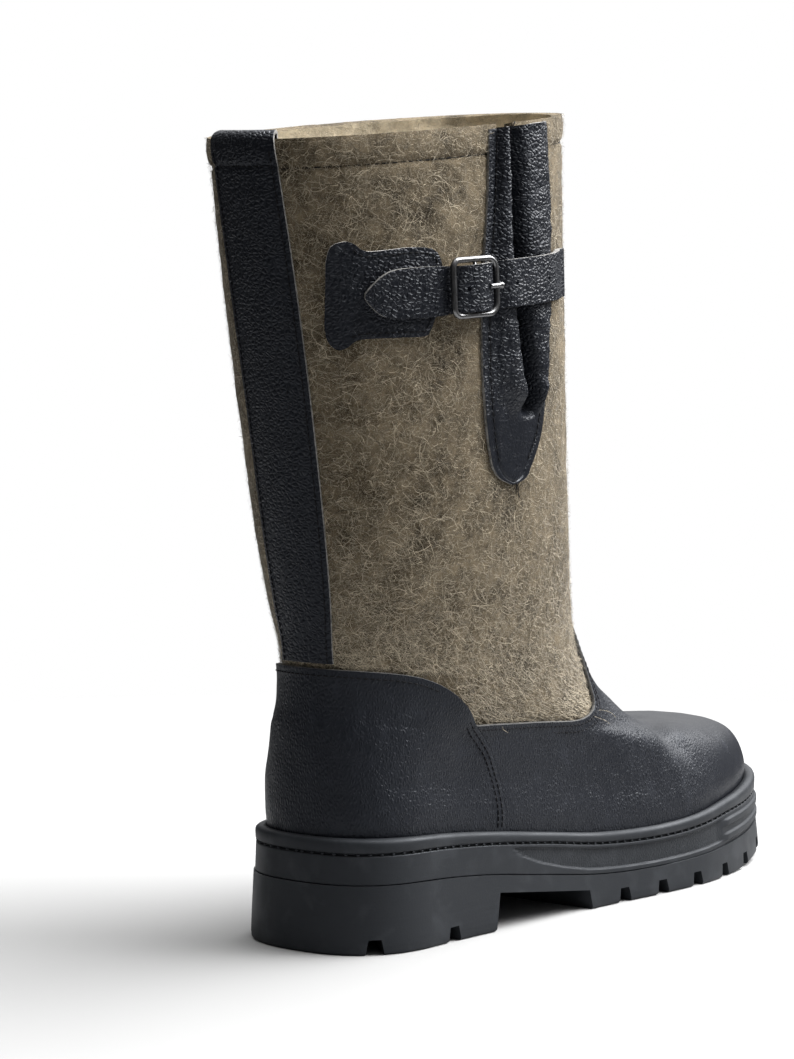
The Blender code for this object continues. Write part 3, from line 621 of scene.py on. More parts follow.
def felt_normal(turn, rise):
    turn, rise = np.broadcast_arrays(np.asarray(turn, float), np.asarray(rise, float))
    low, high = either_side(rise, STEP)
    round_way = felt_form(turn + STEP, rise) - felt_form(turn - STEP, rise)
    up_way = felt_form(turn, high) - felt_form(turn, low)
    normal = np.cross(round_way, up_way)
    # The lowest ring stands on the cup's floor, so there it is offset level
    normal[..., 2] *= np.clip(rise * LAST_RING, 0.0, 1.0)
    return unit(normal)


def felt_at(turn, rise, lift):
    """A point over the felt's outer face by a lift, or inside it where the lift is negative."""
    return felt_form(turn, rise) + felt_normal(turn, rise) * np.asarray(lift, float)[..., None]


def rise_at(turn, height, low=0.0, high=1.0):
    """The rise at which the felt has a height, found by halving."""
    halvings = 26
    low = np.full(np.shape(turn), low)
    high = np.full(np.shape(turn), high)
    for _ in range(halvings):
        middle = (low + high) / 2.0
        under = felt_form(turn, middle)[..., 2] < height
        low = np.where(under, middle, low)
        high = np.where(under, high, middle)
    return (low + high) / 2.0


def shaft_spot(x, height):
    """Turn and rise of a place on the outer side of the shaft."""
    rounds = 3
    turn = np.full(np.shape(x), math.pi / 2.0)
    for _ in range(rounds):
        rise = rise_at(turn, height, low=SHAFT_LOW_RISE)
        back = ring_value(rise, "back_x")
        front = ring_value(rise, "front_x")
        turn = np.arccos(np.clip(1.0 - 2.0 * (x - back) / (front - back), -1.0, 1.0))
    return turn, rise


def shaft_at(x, height, lift):
    """A point over the outer side of the shaft."""
    turn, rise = shaft_spot(x, height)
    return felt_at(turn, rise, np.broadcast_to(lift, turn.shape))


def lumps(points, size, height):
    """Soft noise at each point: about one lump for each size, up to a height."""
    return height * np.array([noise.noise(Vector(point) / size) for point in points])


def crease_relief(turn, rise, creases):
    """Soft troughs and ridges along lines on the leather, fading at their ends."""
    points = felt_form(turn, rise)
    samples = np.linspace(0.0, 1.0, CREASE_POINTS)
    fade = np.sin(math.pi * np.clip(samples, *CREASE_ENDS)) ** CREASE_FADE
    relief = np.zeros(len(points))
    for depth, width, path in creases:
        line_turn, line_ring = along_rows(samples, np.array(path))
        line = felt_form(np.radians(line_turn), line_ring / LAST_RING)
        away = np.linalg.norm(points[:, None, :] - line[None, :, :], axis=-1)
        relief += depth * np.max(fade * np.exp(-((away / width) ** 2)), axis=1)
    return relief


def lay_grid(columns, rows, place, closed=False):
    """A grid laid on the boot. place takes two arrays running from 0 to 1 and gives millimetres."""
    shape = bmesh.new()
    bmesh.ops.create_grid(shape, x_segments=columns, y_segments=rows, size=0.5)
    flat = np.array([vertex.co[:] for vertex in shape.verts])
    points = place(flat[:, 0] + 0.5, flat[:, 1] + 0.5) * MM
    for vertex, point in zip(shape.verts, points):
        vertex.co = point
    if closed:
        bmesh.ops.remove_doubles(shape, verts=shape.verts, dist=MERGE)
    return shape


def mesh_of(name, shape):
    """Turn a bmesh into a mesh."""
    mesh = bpy.data.meshes.new(name)
    shape.to_mesh(mesh)
    shape.free()
    return mesh


def mesh_through(name, points, faces):
    """A mesh with its corners given in millimetres."""
    mesh = bpy.data.meshes.new(name)
    mesh.from_pydata((points * MM).tolist(), [], faces)
    mesh.update()
    return mesh


def add_object(name, data):
    made = bpy.data.objects.new(name, data)
    bpy.context.scene.collection.objects.link(made)
    return made


def make_piece(name, shape, materials, nodes=()):
    """Turn a bmesh or a mesh into a named piece that rides on the boot."""
    mesh = mesh_of(name, shape) if isinstance(shape, bmesh.types.BMesh) else shape
    mesh.shade_smooth()
    for material in materials:
        mesh.materials.append(material)
    piece = add_object(name, mesh)
    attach(piece, "root")
    if nodes:
        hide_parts(*nodes)
    return piece


def round_edges(piece, width, segments, angle):
    """Round the edges that are sharper than an angle in degrees."""
    edge = piece.modifiers.new("edge", "BEVEL")
    edge.width = width * MM
    edge.segments = segments
    edge.limit_method = "ANGLE"
    edge.angle_limit = math.radians(angle)
    return edge


def add_wall(piece, thickness, edge_round, rim_slot, segments=2, back_slot=0):
    """Give a sheet its thickness behind its face, and round its cut edges."""
    wall = piece.modifiers.new("wall", "SOLIDIFY")
    wall.thickness = thickness * MM
    wall.offset = -1.0
    wall.use_quality_normals = True
    wall.material_offset = back_slot
    wall.material_offset_rim = rim_slot
    round_edges(piece, edge_round, segments, WALL_EDGE_ANGLE)


def make_leather(name, node, grid, place, finishes, thickness=LEATHER, edge_round=LEATHER_EDGE_ROUND):
    """A sheet of leather that stands for a node, in the finishes of its face and its cut edge."""
    piece = make_piece(name, lay_grid(*grid, place), finishes, [node])
    add_wall(piece, thickness, edge_round, rim_slot=1)
    return piece


def fill(tree, sockets, inputs):
    """Link the sockets that are given another socket, and set a value on the others."""
    for key, value in inputs.items():
        if isinstance(value, bpy.types.NodeSocket):
            tree.links.new(value, sockets[key])
        else:
            sockets[key].default_value = value


def add_node(tree, kind, inputs=None, **settings):
    node = tree.nodes.new(kind)
    for key, value in settings.items():
        setattr(node, key, value)
    fill(tree, node.inputs, inputs or {})
    return node


def new_material(name):
    material = bpy.data.materials.new(name)
    material.use_nodes = True
    return material, material.node_tree, material.node_tree.nodes["Principled BSDF"]


def shaded(colour, factor, added=0.0):
    """A darker or lighter shade of a colour."""
    return tuple(factor * value + added for value in colour)


def blended(tree, factor, low, high):
    """A colour between two, by a factor socket."""
    mix = add_node(tree, "ShaderNodeMix", {"Factor": factor}, data_type="RGBA")
    sockets = [item for item in mix.inputs if item.type == "RGBA"]
    for index, colour in enumerate((low, high)):
        linked = isinstance(colour, bpy.types.NodeSocket)
        fill(tree, sockets, {index: colour if linked else (*colour, 1.0)})
    return [item for item in mix.outputs if item.type == "RGBA"][0]


def ranged(tree, value, low, high, to_low=0.0, to_high=1.0):
    """A value spread from one range to another, held at its ends."""
    spread = add_node(tree, "ShaderNodeMapRange", {
        "Value": value, "From Min": low, "From Max": high, "To Min": to_low, "To Max": to_high})
    return spread.outputs["Result"]


def reckoned(tree, operation, first, second):
    return add_node(tree, "ShaderNodeMath", {0: first, 1: second}, operation=operation).outputs["Value"]


def stretched(tree, scale=(1.0, 1.0, 1.0)):
    """Object coordinates, stretched along the axes."""
    coordinates = add_node(tree, "ShaderNodeTexCoord")
    mapping = add_node(tree, "ShaderNodeMapping", {
        "Vector": coordinates.outputs["Object"], "Scale": scale})
    return mapping.outputs["Vector"]


def cloud(tree, vector, scale, detail=3.0, distortion=0.0):
    texture = add_node(tree, "ShaderNodeTexNoise", {
        "Vector": vector, "Scale": scale, "Detail": detail, "Distortion": distortion})
    return texture.outputs["Fac"]


def mesh_value(tree, name):
    """Value that is kept on the mesh under a name."""
    return add_node(tree, "ShaderNodeAttribute", attribute_name=name).outputs["Fac"]


def bumped(tree, height, depth, strength=1.0):
    """Normal of a surface with a relief, its depth in millimetres."""
    bump = add_node(tree, "ShaderNodeBump", {
        "Height": height, "Strength": strength, "Distance": depth * MM})
    return bump.outputs["Normal"]


def fleece(tree, vector):
    """Fine straight fibres: streaks of a noise that is long one way, in several directions."""
    total = 0.0
    for way in FIBRE_WAYS:
        turned = add_node(tree, "ShaderNodeMapping", {
            "Vector": vector, "Rotation": [math.radians(angle) for angle in way], "Scale": FIBRE_SIZE},
            vector_type="TEXTURE")
        streak = cloud(tree, turned.outputs["Vector"], scale=1.0, detail=1.0)
        streak = ranged(tree, streak, *FIBRE_CUT)
        total = reckoned(tree, "MAXIMUM", total, streak)
    return total


def felt_material(name, dark, light, strand):
    """Matted wool: dark and pale flecks, soft clumps and fine straight fibres."""
    material, tree, shader = new_material(name)
    vector = stretched(tree)
    fibres = fleece(tree, vector)
    body = reckoned(tree, "MULTIPLY", cloud(tree, vector, scale=45.0, detail=4.0), 0.50)
    for scale, weight in ((130.0, 0.40), (520.0, 0.25)):
        part = reckoned(tree, "MULTIPLY", cloud(tree, vector, scale, distortion=0.6), weight)
        body = reckoned(tree, "ADD", body, part)
    wool = blended(tree, ranged(tree, body, 0.44, 0.72), dark, light)
    height = reckoned(tree, "ADD", body, reckoned(tree, "MULTIPLY", fibres, 0.35))
    fill(tree, shader.inputs, {
        "Base Color": blended(tree, reckoned(tree, "MULTIPLY", fibres, 0.55), wool, strand),
        "Normal": bumped(tree, height, depth=1.2),
        "Roughness": 0.95,
        "Specular IOR Level": 0.1,
        "Sheen Weight": 0.12,
        "Sheen Roughness": 0.45,
        "Sheen Tint": (0.95, 0.88, 0.76, 1.0),
    })
    return material


def leather_material(name, colour, cell, flat, depth, roughness, stretch):
    """Pebbled leather: grains with narrow furrows, a little dust, and smooth where it is polished."""
    material, tree, shader = new_material(name)
    vector = stretched(tree, stretch)
    size = cell * MM
    bend = add_node(tree, "ShaderNodeTexNoise", {"Vector": vector, "Scale": 0.4 / size, "Detail": 2.0})
    bent = add_node(tree, "ShaderNodeVectorMath", {
        0: bend.outputs["Color"], 1: (size, size, size), 2: vector}, operation="MULTIPLY_ADD")
    cells = add_node(tree, "ShaderNodeTexVoronoi", {
        "Vector": bent.outputs["Vector"], "Scale": 1.0 / size}, feature="DISTANCE_TO_EDGE")
    pebble = add_node(tree, "ShaderNodeMapRange", {
        "Value": cells.outputs["Distance"], "From Max": flat}, interpolation_type="SMOOTHSTEP")
    patches = cloud(tree, vector, scale=70.0)
    polish = mesh_value(tree, "polish")
    uneven = ranged(tree, patches, 0.35, 0.65, 0.65, 1.0)
    pebbles = reckoned(tree, "MULTIPLY", pebble.outputs["Result"], uneven)
    wrinkles = reckoned(tree, "MULTIPLY", cloud(tree, vector, scale=700.0, detail=2.0, distortion=0.5), 0.16)
    height = reckoned(tree, "ADD", pebbles, wrinkles)
    height = reckoned(tree, "MULTIPLY", height, ranged(tree, polish, 0.0, 1.0, 1.0, 0.34))
    specks = ranged(tree, cloud(tree, vector, scale=130.0, detail=6.0), 0.55, 0.80)
    dust = reckoned(tree, "MULTIPLY", specks, 0.5)
    dull = ranged(tree, reckoned(tree, "ADD", patches, dust), 0.3, 1.0, roughness - 0.06, roughness + 0.12)
    gloss = add_node(tree, "ShaderNodeMix", {
        "Factor": polish, "A": dull, "B": roughness - 0.08}, data_type="FLOAT")
    fill(tree, shader.inputs, {
        "Base Color": blended(tree, dust, colour, shaded(colour, 2.0, 0.004)),
        "Roughness": gloss.outputs["Result"],
        "Normal": bumped(tree, height, depth),
        "Specular IOR Level": 0.21,
        "Specular Tint": COOL,
    })
    return material


def edge_material(name, colour):
    """Raw cut edge of leather, or a single hair: pale fibres."""
    material, tree, shader = new_material(name)
    fibres = cloud(tree, stretched(tree), scale=700.0, detail=4.0)
    fill(tree, shader.inputs, {
        "Base Color": blended(tree, ranged(tree, fibres, 0.35, 0.65), shaded(colour, 0.35), colour),
        "Normal": bumped(tree, fibres, depth=0.3, strength=0.8),
        "Roughness": 0.8,
    })
    return material


def rubber_material(name, colour, roughness):
    """Moulded rubber: brushed lines, fine grain on the panel, pale scuffs."""
    material, tree, shader = new_material(name)
    vector = stretched(tree)
    lines = cloud(tree, stretched(tree, (0.05, 0.05, 1.0)), scale=520.0)
    grain = cloud(tree, vector, scale=1100.0, detail=2.0)
    stipple = reckoned(tree, "MULTIPLY", grain, ranged(tree, mesh_value(tree, "panel"), 0.0, 1.0, 0.12, 1.4))
    height = reckoned(tree, "ADD", stipple, reckoned(tree, "MULTIPLY", lines, 0.35))
    rubbed = ranged(tree, cloud(tree, vector, scale=85.0, detail=7.0, distortion=0.4), 0.52, 0.75)
    scuffs = reckoned(tree, "MULTIPLY", rubbed, 0.35)
    haze = cloud(tree, vector, scale=60.0, detail=4.0)
    fill(tree, shader.inputs, {
        "Base Color": blended(tree, scuffs, colour, shaded(colour, 2.4, 0.012)),
        "Roughness": ranged(tree, haze, 0.3, 0.7, roughness - 0.08, roughness + 0.10),
        "Normal": bumped(tree, height, depth=0.3, strength=0.8),
        "Specular IOR Level": 0.24,
        "Specular Tint": COOL,
    })
    return material


def steel_material(name, colour):
    material, tree, shader = new_material(name)
    scratches = cloud(tree, stretched(tree, (1.0, 1.0, 0.15)), scale=1500.0, detail=4.0)
    tarnish = ranged(tree, cloud(tree, stretched(tree), scale=260.0), 0.55, 0.8)
    fill(tree, shader.inputs, {
        "Base Color": blended(tree, tarnish, colour, shaded(colour, 0.6)),
        "Roughness": ranged(tree, scratches, 0.3, 0.7, 0.22, 0.40),
        "Metallic": 1.0,
    })
    return material


def thread_material(name, colour):
    material, tree, shader = new_material(name)
    twist = cloud(tree, stretched(tree), scale=1800.0, detail=2.0)
    fill(tree, shader.inputs, {
        "Base Color": blended(tree, twist, shaded(colour, 0.5), colour),
        "Normal": bumped(tree, twist, depth=0.2, strength=0.6),
        "Roughness": 0.7,
        "Specular IOR Level": 0.1,
    })
    return material


def wool_material(name, dark, pale):
    """Single fibres, each with its own shade."""
    material, tree, shader = new_material(name)
    uneven = ranged(tree, cloud(tree, stretched(tree), scale=300.0, detail=1.0), 0.3, 0.7, 0.75, 1.0)
    shade = reckoned(tree, "MULTIPLY", mesh_value(tree, "shade"), uneven)
    fill(tree, shader.inputs, {
        "Base Color": blended(tree, shade, dark, pale),
        "Roughness": 0.7,
        "Specular IOR Level": 0.2,
        "Sheen Weight": 0.2,
    })
    return material


def finish_of(name, maker, *values):
    """A material made once and shared by the pieces that wear it."""
    found = bpy.data.materials.get(name)
    return found if found else maker(name, *values)


def fine_leather(looks):
    return finish_of("smooth_black_leather", leather_material, tuple(looks.leather), *FINE_GRAIN)


def coarse_leather(looks):
    return finish_of("pebbled_black_leather", leather_material, tuple(looks.leather), *COARSE_GRAIN)


def cut_edge(looks):
    return finish_of("raw_leather_edge", edge_material, tuple(looks.leather_edge))


# Cut edge made twice as pale for the tab: its pale raw cut plus painted light, as that edge faces away from
# the lamps
def raw_edge(looks):
    return finish_of("raw_edge", edge_material, shaded(looks.leather_edge, PAINTED_LIGHT_EDGE))


# Darker copy of the cut edge for the vamp and counter: painted shade where the lamps light these edges from
# above
def edge_with_painted_shade(looks):
    return finish_of("dyed_leather_edge", edge_material, shaded(looks.leather_edge, PAINTED_SHADE_EDGE))


def wool_felt(looks):
    return finish_of("grey_brown_wool_felt", felt_material, tuple(looks.felt_dark), tuple(looks.felt_light),
                     tuple(looks.wool_pale))


# Pale wool lining, its colours raised as painted light on the felt's inner face, which lies in shadow
def lining(looks):
    return finish_of("pale_wool_lining", felt_material,
                     *(shaded(looks.wool_pale, factor) for factor in LINING_SHADES_WITH_PAINTED_LIGHT))


def pale_hair(looks):
    return finish_of("pale_hair", edge_material, tuple(looks.wool_pale))


def wool_fibre(looks):
    return finish_of("loose_wool", wool_material, tuple(looks.felt_dark), tuple(looks.wool_pale))


def dark_thread(looks):
    return finish_of("black_sewing_thread", thread_material, tuple(looks.thread))


def hem_relief(bare, turn):
    """The puffed hem and the sewn line under it, at points of the bare form."""
    below_rim = felt_form(turn, np.ones(turn.shape))[:, 2] - bare[:, 2]
    in_hem = np.clip(below_rim / HEM_DROP, 0.0, 1.0)
    puff = 4.0 * HEM_PUFF * in_hem * (1.0 - in_hem)
    return puff - HEM_DEPTH * np.exp(-(((below_rim - HEM_DROP) / HEM_WIDTH) ** 2))


def place_felt(across, along):
    turn = across * FULL_TURN
    rise = np.interp(along, FELT_ROW_SHARES, FELT_ROW_RISES)
    bare = felt_form(turn, rise)
    relief = hem_relief(bare, turn)
    for size, height in FELT_LUMPS:
        relief = relief + lumps(bare, size, height)
    covered = rise < bare_felt_low(turn)
    creases = crease_relief(turn[covered], rise[covered], VAMP_CREASES)
    relief[covered] = np.minimum(creases, 0.0) - UNDER_LEATHER
    return felt_at(turn, rise, relief)


def gusset_edges(height):
    """Middle, half width and valley of the gusset at a height."""
    back_edge, front_edge, valley = (through(height, GUSSET[:, 0], column) for column in GUSSET.T[1:])
    return (back_edge + front_edge) / 2.0, (front_edge - back_edge) / 2.0, valley


def slit_middle(height):
    middle, half, valley = gusset_edges(np.clip(height, SLIT_LOW, GUSSET[-1, 0]))
    return middle + valley * half


def open_slit(shape):
    """Take out the felt behind the gusset's valley, and bring the edges of the cut into line."""
    in_slit = []
    for face in shape.faces:
        x, y, z = face.calc_center_median() / MM
        if y < 0.0 and z > SLIT_LOW and abs(x - slit_middle(z)) < SLIT_HALF:
            in_slit.append(face)
    ragged = {vertex for face in in_slit for vertex in face.verts}
    bmesh.ops.delete(shape, geom=in_slit, context="FACES")
    for vertex in ragged:
        if vertex.is_valid:
            x, _, z = vertex.co / MM
            side = math.copysign(SLIT_HALF, x - slit_middle(z))
            if z > SLIT_LOW + SLIT_HALF:
                vertex.co = shaft_at(np.array((slit_middle(z) + side,)), np.array((z,)), 0.0)[0] * MM


def build_felt(looks):
    """The whole hollow of felt, open in the slit behind the gusset."""
    shape = lay_grid(FELT_COLUMNS, FELT_ROWS, place_felt, closed=True)
    open_slit(shape)
    piece = make_piece("felt_upper", shape, [wool_felt(looks), lining(looks)], ["upper"])
    add_wall(piece, FELT, FELT_RIM_ROUND, rim_slot=0, segments=4, back_slot=1)


def counter_rise(turn):
    reach = np.abs(turn) / COUNTER_TURN
    return COUNTER_RING / LAST_RING * (1.0 - reach ** COUNTER_POWER) ** (1.0 / COUNTER_POWER)


def vamp_rise(turn):
    degrees = np.degrees(np.minimum(turn, FULL_TURN - turn))
    return through(degrees, VAMP_TOP[:, 0], VAMP_TOP[:, 1]) / LAST_RING


def counter_at(turn, rise):
    """Face of the counter. It stands up a little along its front edges, over the vamp."""
    share = np.abs(turn) - COUNTER_PROUD_START * COUNTER_EDGE
    proud = COUNTER_PROUD * eased(share / (COUNTER_PROUD_RUN * COUNTER_EDGE))
    relief = crease_relief(turn, rise, COUNTER_CREASES) + lumps(felt_form(turn, rise), *COUNTER_LUMPS)
    return felt_at(turn, rise, PANEL_FACE + proud + relief)


def vamp_at(turn, rise):
    relief = crease_relief(turn, rise, VAMP_CREASES) + lumps(felt_form(turn, rise), *VAMP_LUMPS)
    return felt_at(turn, rise, PANEL_FACE + relief)


def place_counter(across, along):
    turn = (2.0 * across - 1.0) * COUNTER_EDGE
    return counter_at(turn, along * counter_rise(turn))


def place_vamp(across, along):
    turn = VAMP_EDGE + across * (FULL_TURN - 2.0 * VAMP_EDGE)
    return vamp_at(turn, along * vamp_rise(turn))


def mark_polish(piece, axis, start, run):
    """Keep how smooth the leather is drawn, from none at start to full one run further along the axis."""
    layer = piece.data.attributes.new("polish", "FLOAT", "POINT")
    places = np.array([vertex.co[axis] for vertex in piece.data.vertices]) / MM
    worn = eased((places - start) / run)
    layer.data.foreach_set("value", worn.astype(np.float32))


def build_foot_leather(looks):
    # The vamp's and counter's cut edges wear a darker copy of the edge, as painted shade
    finishes = [fine_leather(looks), edge_with_painted_shade(looks)]
    make_leather("heel_counter_leather", "heel_counter", COUNTER_GRID, place_counter, finishes)
    vamp = make_leather("vamp_leather", "vamp", VAMP_GRID, place_vamp, finishes)
    mark_polish(vamp, 0, *TOE_POLISH)


def strip_rows():
    """Ring, height added and lift of the strip's face from the counter, over the rim, to its end inside."""
    face = GAP + LEATHER
    middle = -FELT / 2.0
    reach = face - middle
    over = RIM_LIFT + face
    hem_ring = LAST_RING - 2.0 * STRIP_CROSS_RINGS
    leg = np.linspace(STRIP_LOW_RING, hem_ring, STRIP_LEG_ROWS)
    hem = np.linspace(hem_ring, LAST_RING, STRIP_HEM_ROWS)[1:]
    outside = [(ring, 0.0, face) for ring in np.concatenate((leg, hem))]
    fold = []
    for angle in np.linspace(0.0, math.pi, STRIP_OVER_ROWS)[1:-1]:
        fold.append((LAST_RING, over * math.sin(angle), middle + reach * math.cos(angle)))
    drops = np.linspace(0.0, STRIP_FOLD_RINGS, STRIP_INSIDE_ROWS)
    inside = [(LAST_RING - drop, 0.0, middle - reach) for drop in drops]
    return np.array(outside + fold + inside)


def place_strip(across, along):
    rows = strip_rows()
    place = along * (len(rows) - 1)
    ring, added, lift = (np.interp(place, np.arange(len(rows)), column) for column in rows.T)
    rise = ring / LAST_RING
    turn = (2.0 * across - 1.0) * STRIP_TURN
    outside = (lift > 0.0) & (added <= 0.0)
    over_cross = (rise - 1.0) * LAST_RING / STRIP_CROSS_RINGS + 1.0
    puff = STRIP_PUFF * np.sin(math.pi * np.clip(over_cross, 0.0, 1.0))
    dent = STRIP_DENT * np.exp(-((over_cross / STRIP_DENT_WIDTH) ** 2))
    relief = np.where(outside, puff - dent, 0.0) + lumps(felt_form(turn, rise), *STRIP_LUMPS)
    points = felt_at(turn, rise, lift + relief)
    points[:, 2] += added
    return points


def build_strip(looks):
    grid = (STRIP_COLUMNS, len(strip_rows()) - 1)
    finishes = [coarse_leather(looks), cut_edge(looks)]
    make_leather("back_strip_leather", "back_strip", grid, place_strip, finishes)


def place_gusset(across, along):
    """Flat point below, then two rolls with a valley that dips into the slit between them."""
    height = GUSSET[0, 0] + (GUSSET[-1, 0] - GUSSET[0, 0]) * along ** GUSSET_CROWD
    pleat_side, pleat_lift = along_rows(across, PLEAT)
    slant = np.clip((pleat_side - ROLL_END_SIDE) / ROLL_END_SPREAD, -1.0, 1.0)
    run = ROLL_RUN - ROLL_RUN_SLANT * slant + FRONT_RUN * eased((pleat_side - FRONT_SIDE) / FRONT_SPREAD)
    fold = eased((height - ROLL_END + ROLL_END_SLANT * slant) / run)
    even = 2.0 * across - 1.0
    side = even + (pleat_side - even) * fold
    lift = GUSSET_FLAT + (pleat_lift - GUSSET_FLAT) * fold
    middle, half, valley = gusset_edges(height)
    reach = (side + valley * (1.0 - side ** 2) ** 2) * half
    rim_share = np.clip((height - TILT_START) / (GUSSET[-1, 0] - TILT_START), 0.0, 1.0)
    tilted = height + GUSSET_TILT * rim_share * reach
    places = np.column_stack((reach, lift, tilted))
    on_roll = fold * eased((lift - WRINKLE_LIFT) / WRINKLE_RUN)
    wrinkle = lumps(places * np.array(WRINKLE_STRETCH), *WRINKLES) * on_roll
    seam = -SEAM_DEPTH * np.exp(-(((half - np.abs(reach) - GUSSET_SEAM) / SEAM_WIDTH) ** 2))
    seam = np.where(reach > 0.0, seam * (1.0 - fold), seam)
    return shaft_at(middle + reach, tilted, lift + wrinkle + seam)


def build_gusset(looks):
    finishes = [coarse_leather(looks), cut_edge(looks)]
    piece = make_leather("gusset_leather", "gusset", GUSSET_GRID, place_gusset, finishes, GUSSET_WALL)
    mark_polish(piece, 2, *GUSSET_POLISH)


def place_tab(across, along):
    low_x, low, high_x, high = along_rows(across, TAB)
    x = low_x + (high_x - low_x) * along
    height = low + (high - low) * along
    relief = lumps(np.column_stack((x, height, height)), *TAB_LUMPS)
    return shaft_at(x, height, PANEL_FACE + relief)


def strap_line(share):
    """Place, height, lift of the face and width of the strap from its sewn end to its tip."""
    x, height, back, width = along_rows(share, STRAP)
    return x, height, back + STRAP_THICK, np.clip(width, STRAP_TIP_WIDTH, None)


def place_strap(across, along):
    x, height, lift, width = strap_line(along)
    return shaft_at(x, height + (across - 0.5) * width, lift)


def painted_hole_discs():
    """Small dark discs of painted shade where the strap is punched, standing in for the shadow inside its
    holes.
    """
    shape = bmesh.new()
    shares = np.linspace(0.0, 1.0, HOLE_SEARCH)
    x = strap_line(shares)[0]
    half_way = np.array((0.5,))
    for hole_x in STRAP_HOLES:
        share = np.array((shares[np.argmin(np.abs(x - hole_x))],))
        middle = place_strap(half_way, share)[0]
        ahead = place_strap(half_way, share + HOLE_STEP_ALONG)[0] - middle
        above = place_strap(half_way + HOLE_STEP_UP, share)[0] - middle
        outward = Vector(np.cross(above, ahead)).normalized()
        turn = Vector((0.0, 0.0, 1.0)).rotation_difference(outward).to_matrix().to_4x4()
        place = Matrix.Translation(Vector(middle) * MM + outward * HOLE_LIFT * MM) @ turn
        bmesh.ops.create_circle(shape, cap_ends=True, segments=HOLE_SIDES,
                                radius=HOLE_RADIUS * MM, matrix=place)
    bmesh.ops.recalc_face_normals(shape, faces=shape.faces)
    return shape


def hole_shade_material(name, colour):
    material, tree, shader = new_material(name)
    # Painted shade for the inside of a hole: the leather's colour darkened, more or less by a noise
    depth = cloud(tree, stretched(tree), scale=900.0, detail=2.0)
    fill(tree, shader.inputs, {
        "Base Color": blended(tree, depth, shaded(colour, 0.2), shaded(colour, 0.6)),
        "Roughness": 1.0,
        "Specular IOR Level": 0.0,
    })
    return material


def build_strap(looks):
    leather = coarse_leather(looks)
    # The tab's cut edge is paler: painted light on an edge that faces away from the lamps
    make_leather("buckle_tab_leather", "buckle_tab", TAB_GRID, place_tab,
                 [leather, raw_edge(looks)], edge_round=TAB_EDGE_ROUND)
    make_leather("strap_leather", "strap", STRAP_GRID, place_strap,
                 [leather, cut_edge(looks)], STRAP_THICK, STRAP_EDGE_ROUND)
    # The strap's holes: dark discs of painted shade
    hole = finish_of("punched_hole", hole_shade_material, tuple(looks.leather))
    make_piece("strap_hole_shade_discs", painted_hole_discs(), [hole])


def buckle_matrix():
    """Local x runs along the strap to the front, z up the shaft, y into the shaft."""
    def spot(across, rise):
        height = BUCKLE_HEIGHT + BUCKLE_SLOPE * across + rise
        return Vector(shaft_at(np.array((BUCKLE_X + across,)), np.array((height,)), BUCKLE_LIFT)[0])

    forward = (spot(BUCKLE_BAR_REACH, 0.0) - spot(-BUCKLE_BAR_REACH, 0.0)).normalized()
    above = spot(0.0, BUCKLE_SIDE_REACH) - spot(0.0, -BUCKLE_SIDE_REACH)
    inward = above.cross(forward).normalized()
    upward = forward.cross(inward)
    axes = Matrix((forward, inward, upward)).transposed().to_4x4()
    return Matrix.Translation(spot(0.0, 0.0) * MM) @ axes @ Matrix.Scale(MM, 4)


def wire_shape(shape, points, radii, place, cyclic=False, sides=14):
    """Add a round wire along points to a bmesh, with a radius at each of them."""
    curve = bpy.data.curves.new("wire", "CURVE")
    curve.dimensions = "3D"
    curve.bevel_depth = 1.0
    curve.bevel_resolution = sides // 4
    curve.use_fill_caps = True
    spline = curve.splines.new("POLY")
    spline.points.add(len(points) - 1)
    for spot, point, radius in zip(spline.points, points, radii):
        spot.co = (*point, 1.0)
        spot.radius = radius
    spline.use_cyclic_u = cyclic
    guide = add_object("wire", curve)
    graph = bpy.context.evaluated_depsgraph_get()
    mesh = bpy.data.meshes.new_from_object(guide.evaluated_get(graph))
    bpy.data.objects.remove(guide, do_unlink=True)
    bpy.data.curves.remove(curve)
    mesh.transform(place)
    shape.from_mesh(mesh)
    bpy.data.meshes.remove(mesh)


def closed_shape(shape):
    bmesh.ops.remove_doubles(shape, verts=shape.verts, dist=MERGE)
    bmesh.ops.recalc_face_normals(shape, faces=shape.faces)
    return shape


def frame_outline():
    """Rounded rectangle, with rounder corners at the front."""
    steps = 10
    points = []
    sides = ((1, 1, BUCKLE_FRONT_CORNER), (-1, 1, BUCKLE_BACK_CORNER),
             (-1, -1, BUCKLE_BACK_CORNER), (1, -1, BUCKLE_FRONT_CORNER))
    for index, (side_x, side_z, corner) in enumerate(sides):
        for step in range(steps + 1):
            angle = (index + step / steps) * math.pi / 2.0
            x = side_x * (BUCKLE_BAR_REACH - corner) + corner * math.cos(angle)
            z = side_z * (BUCKLE_SIDE_REACH - corner) + corner * math.sin(angle)
            points.append((x, 0.0, z))
    return points


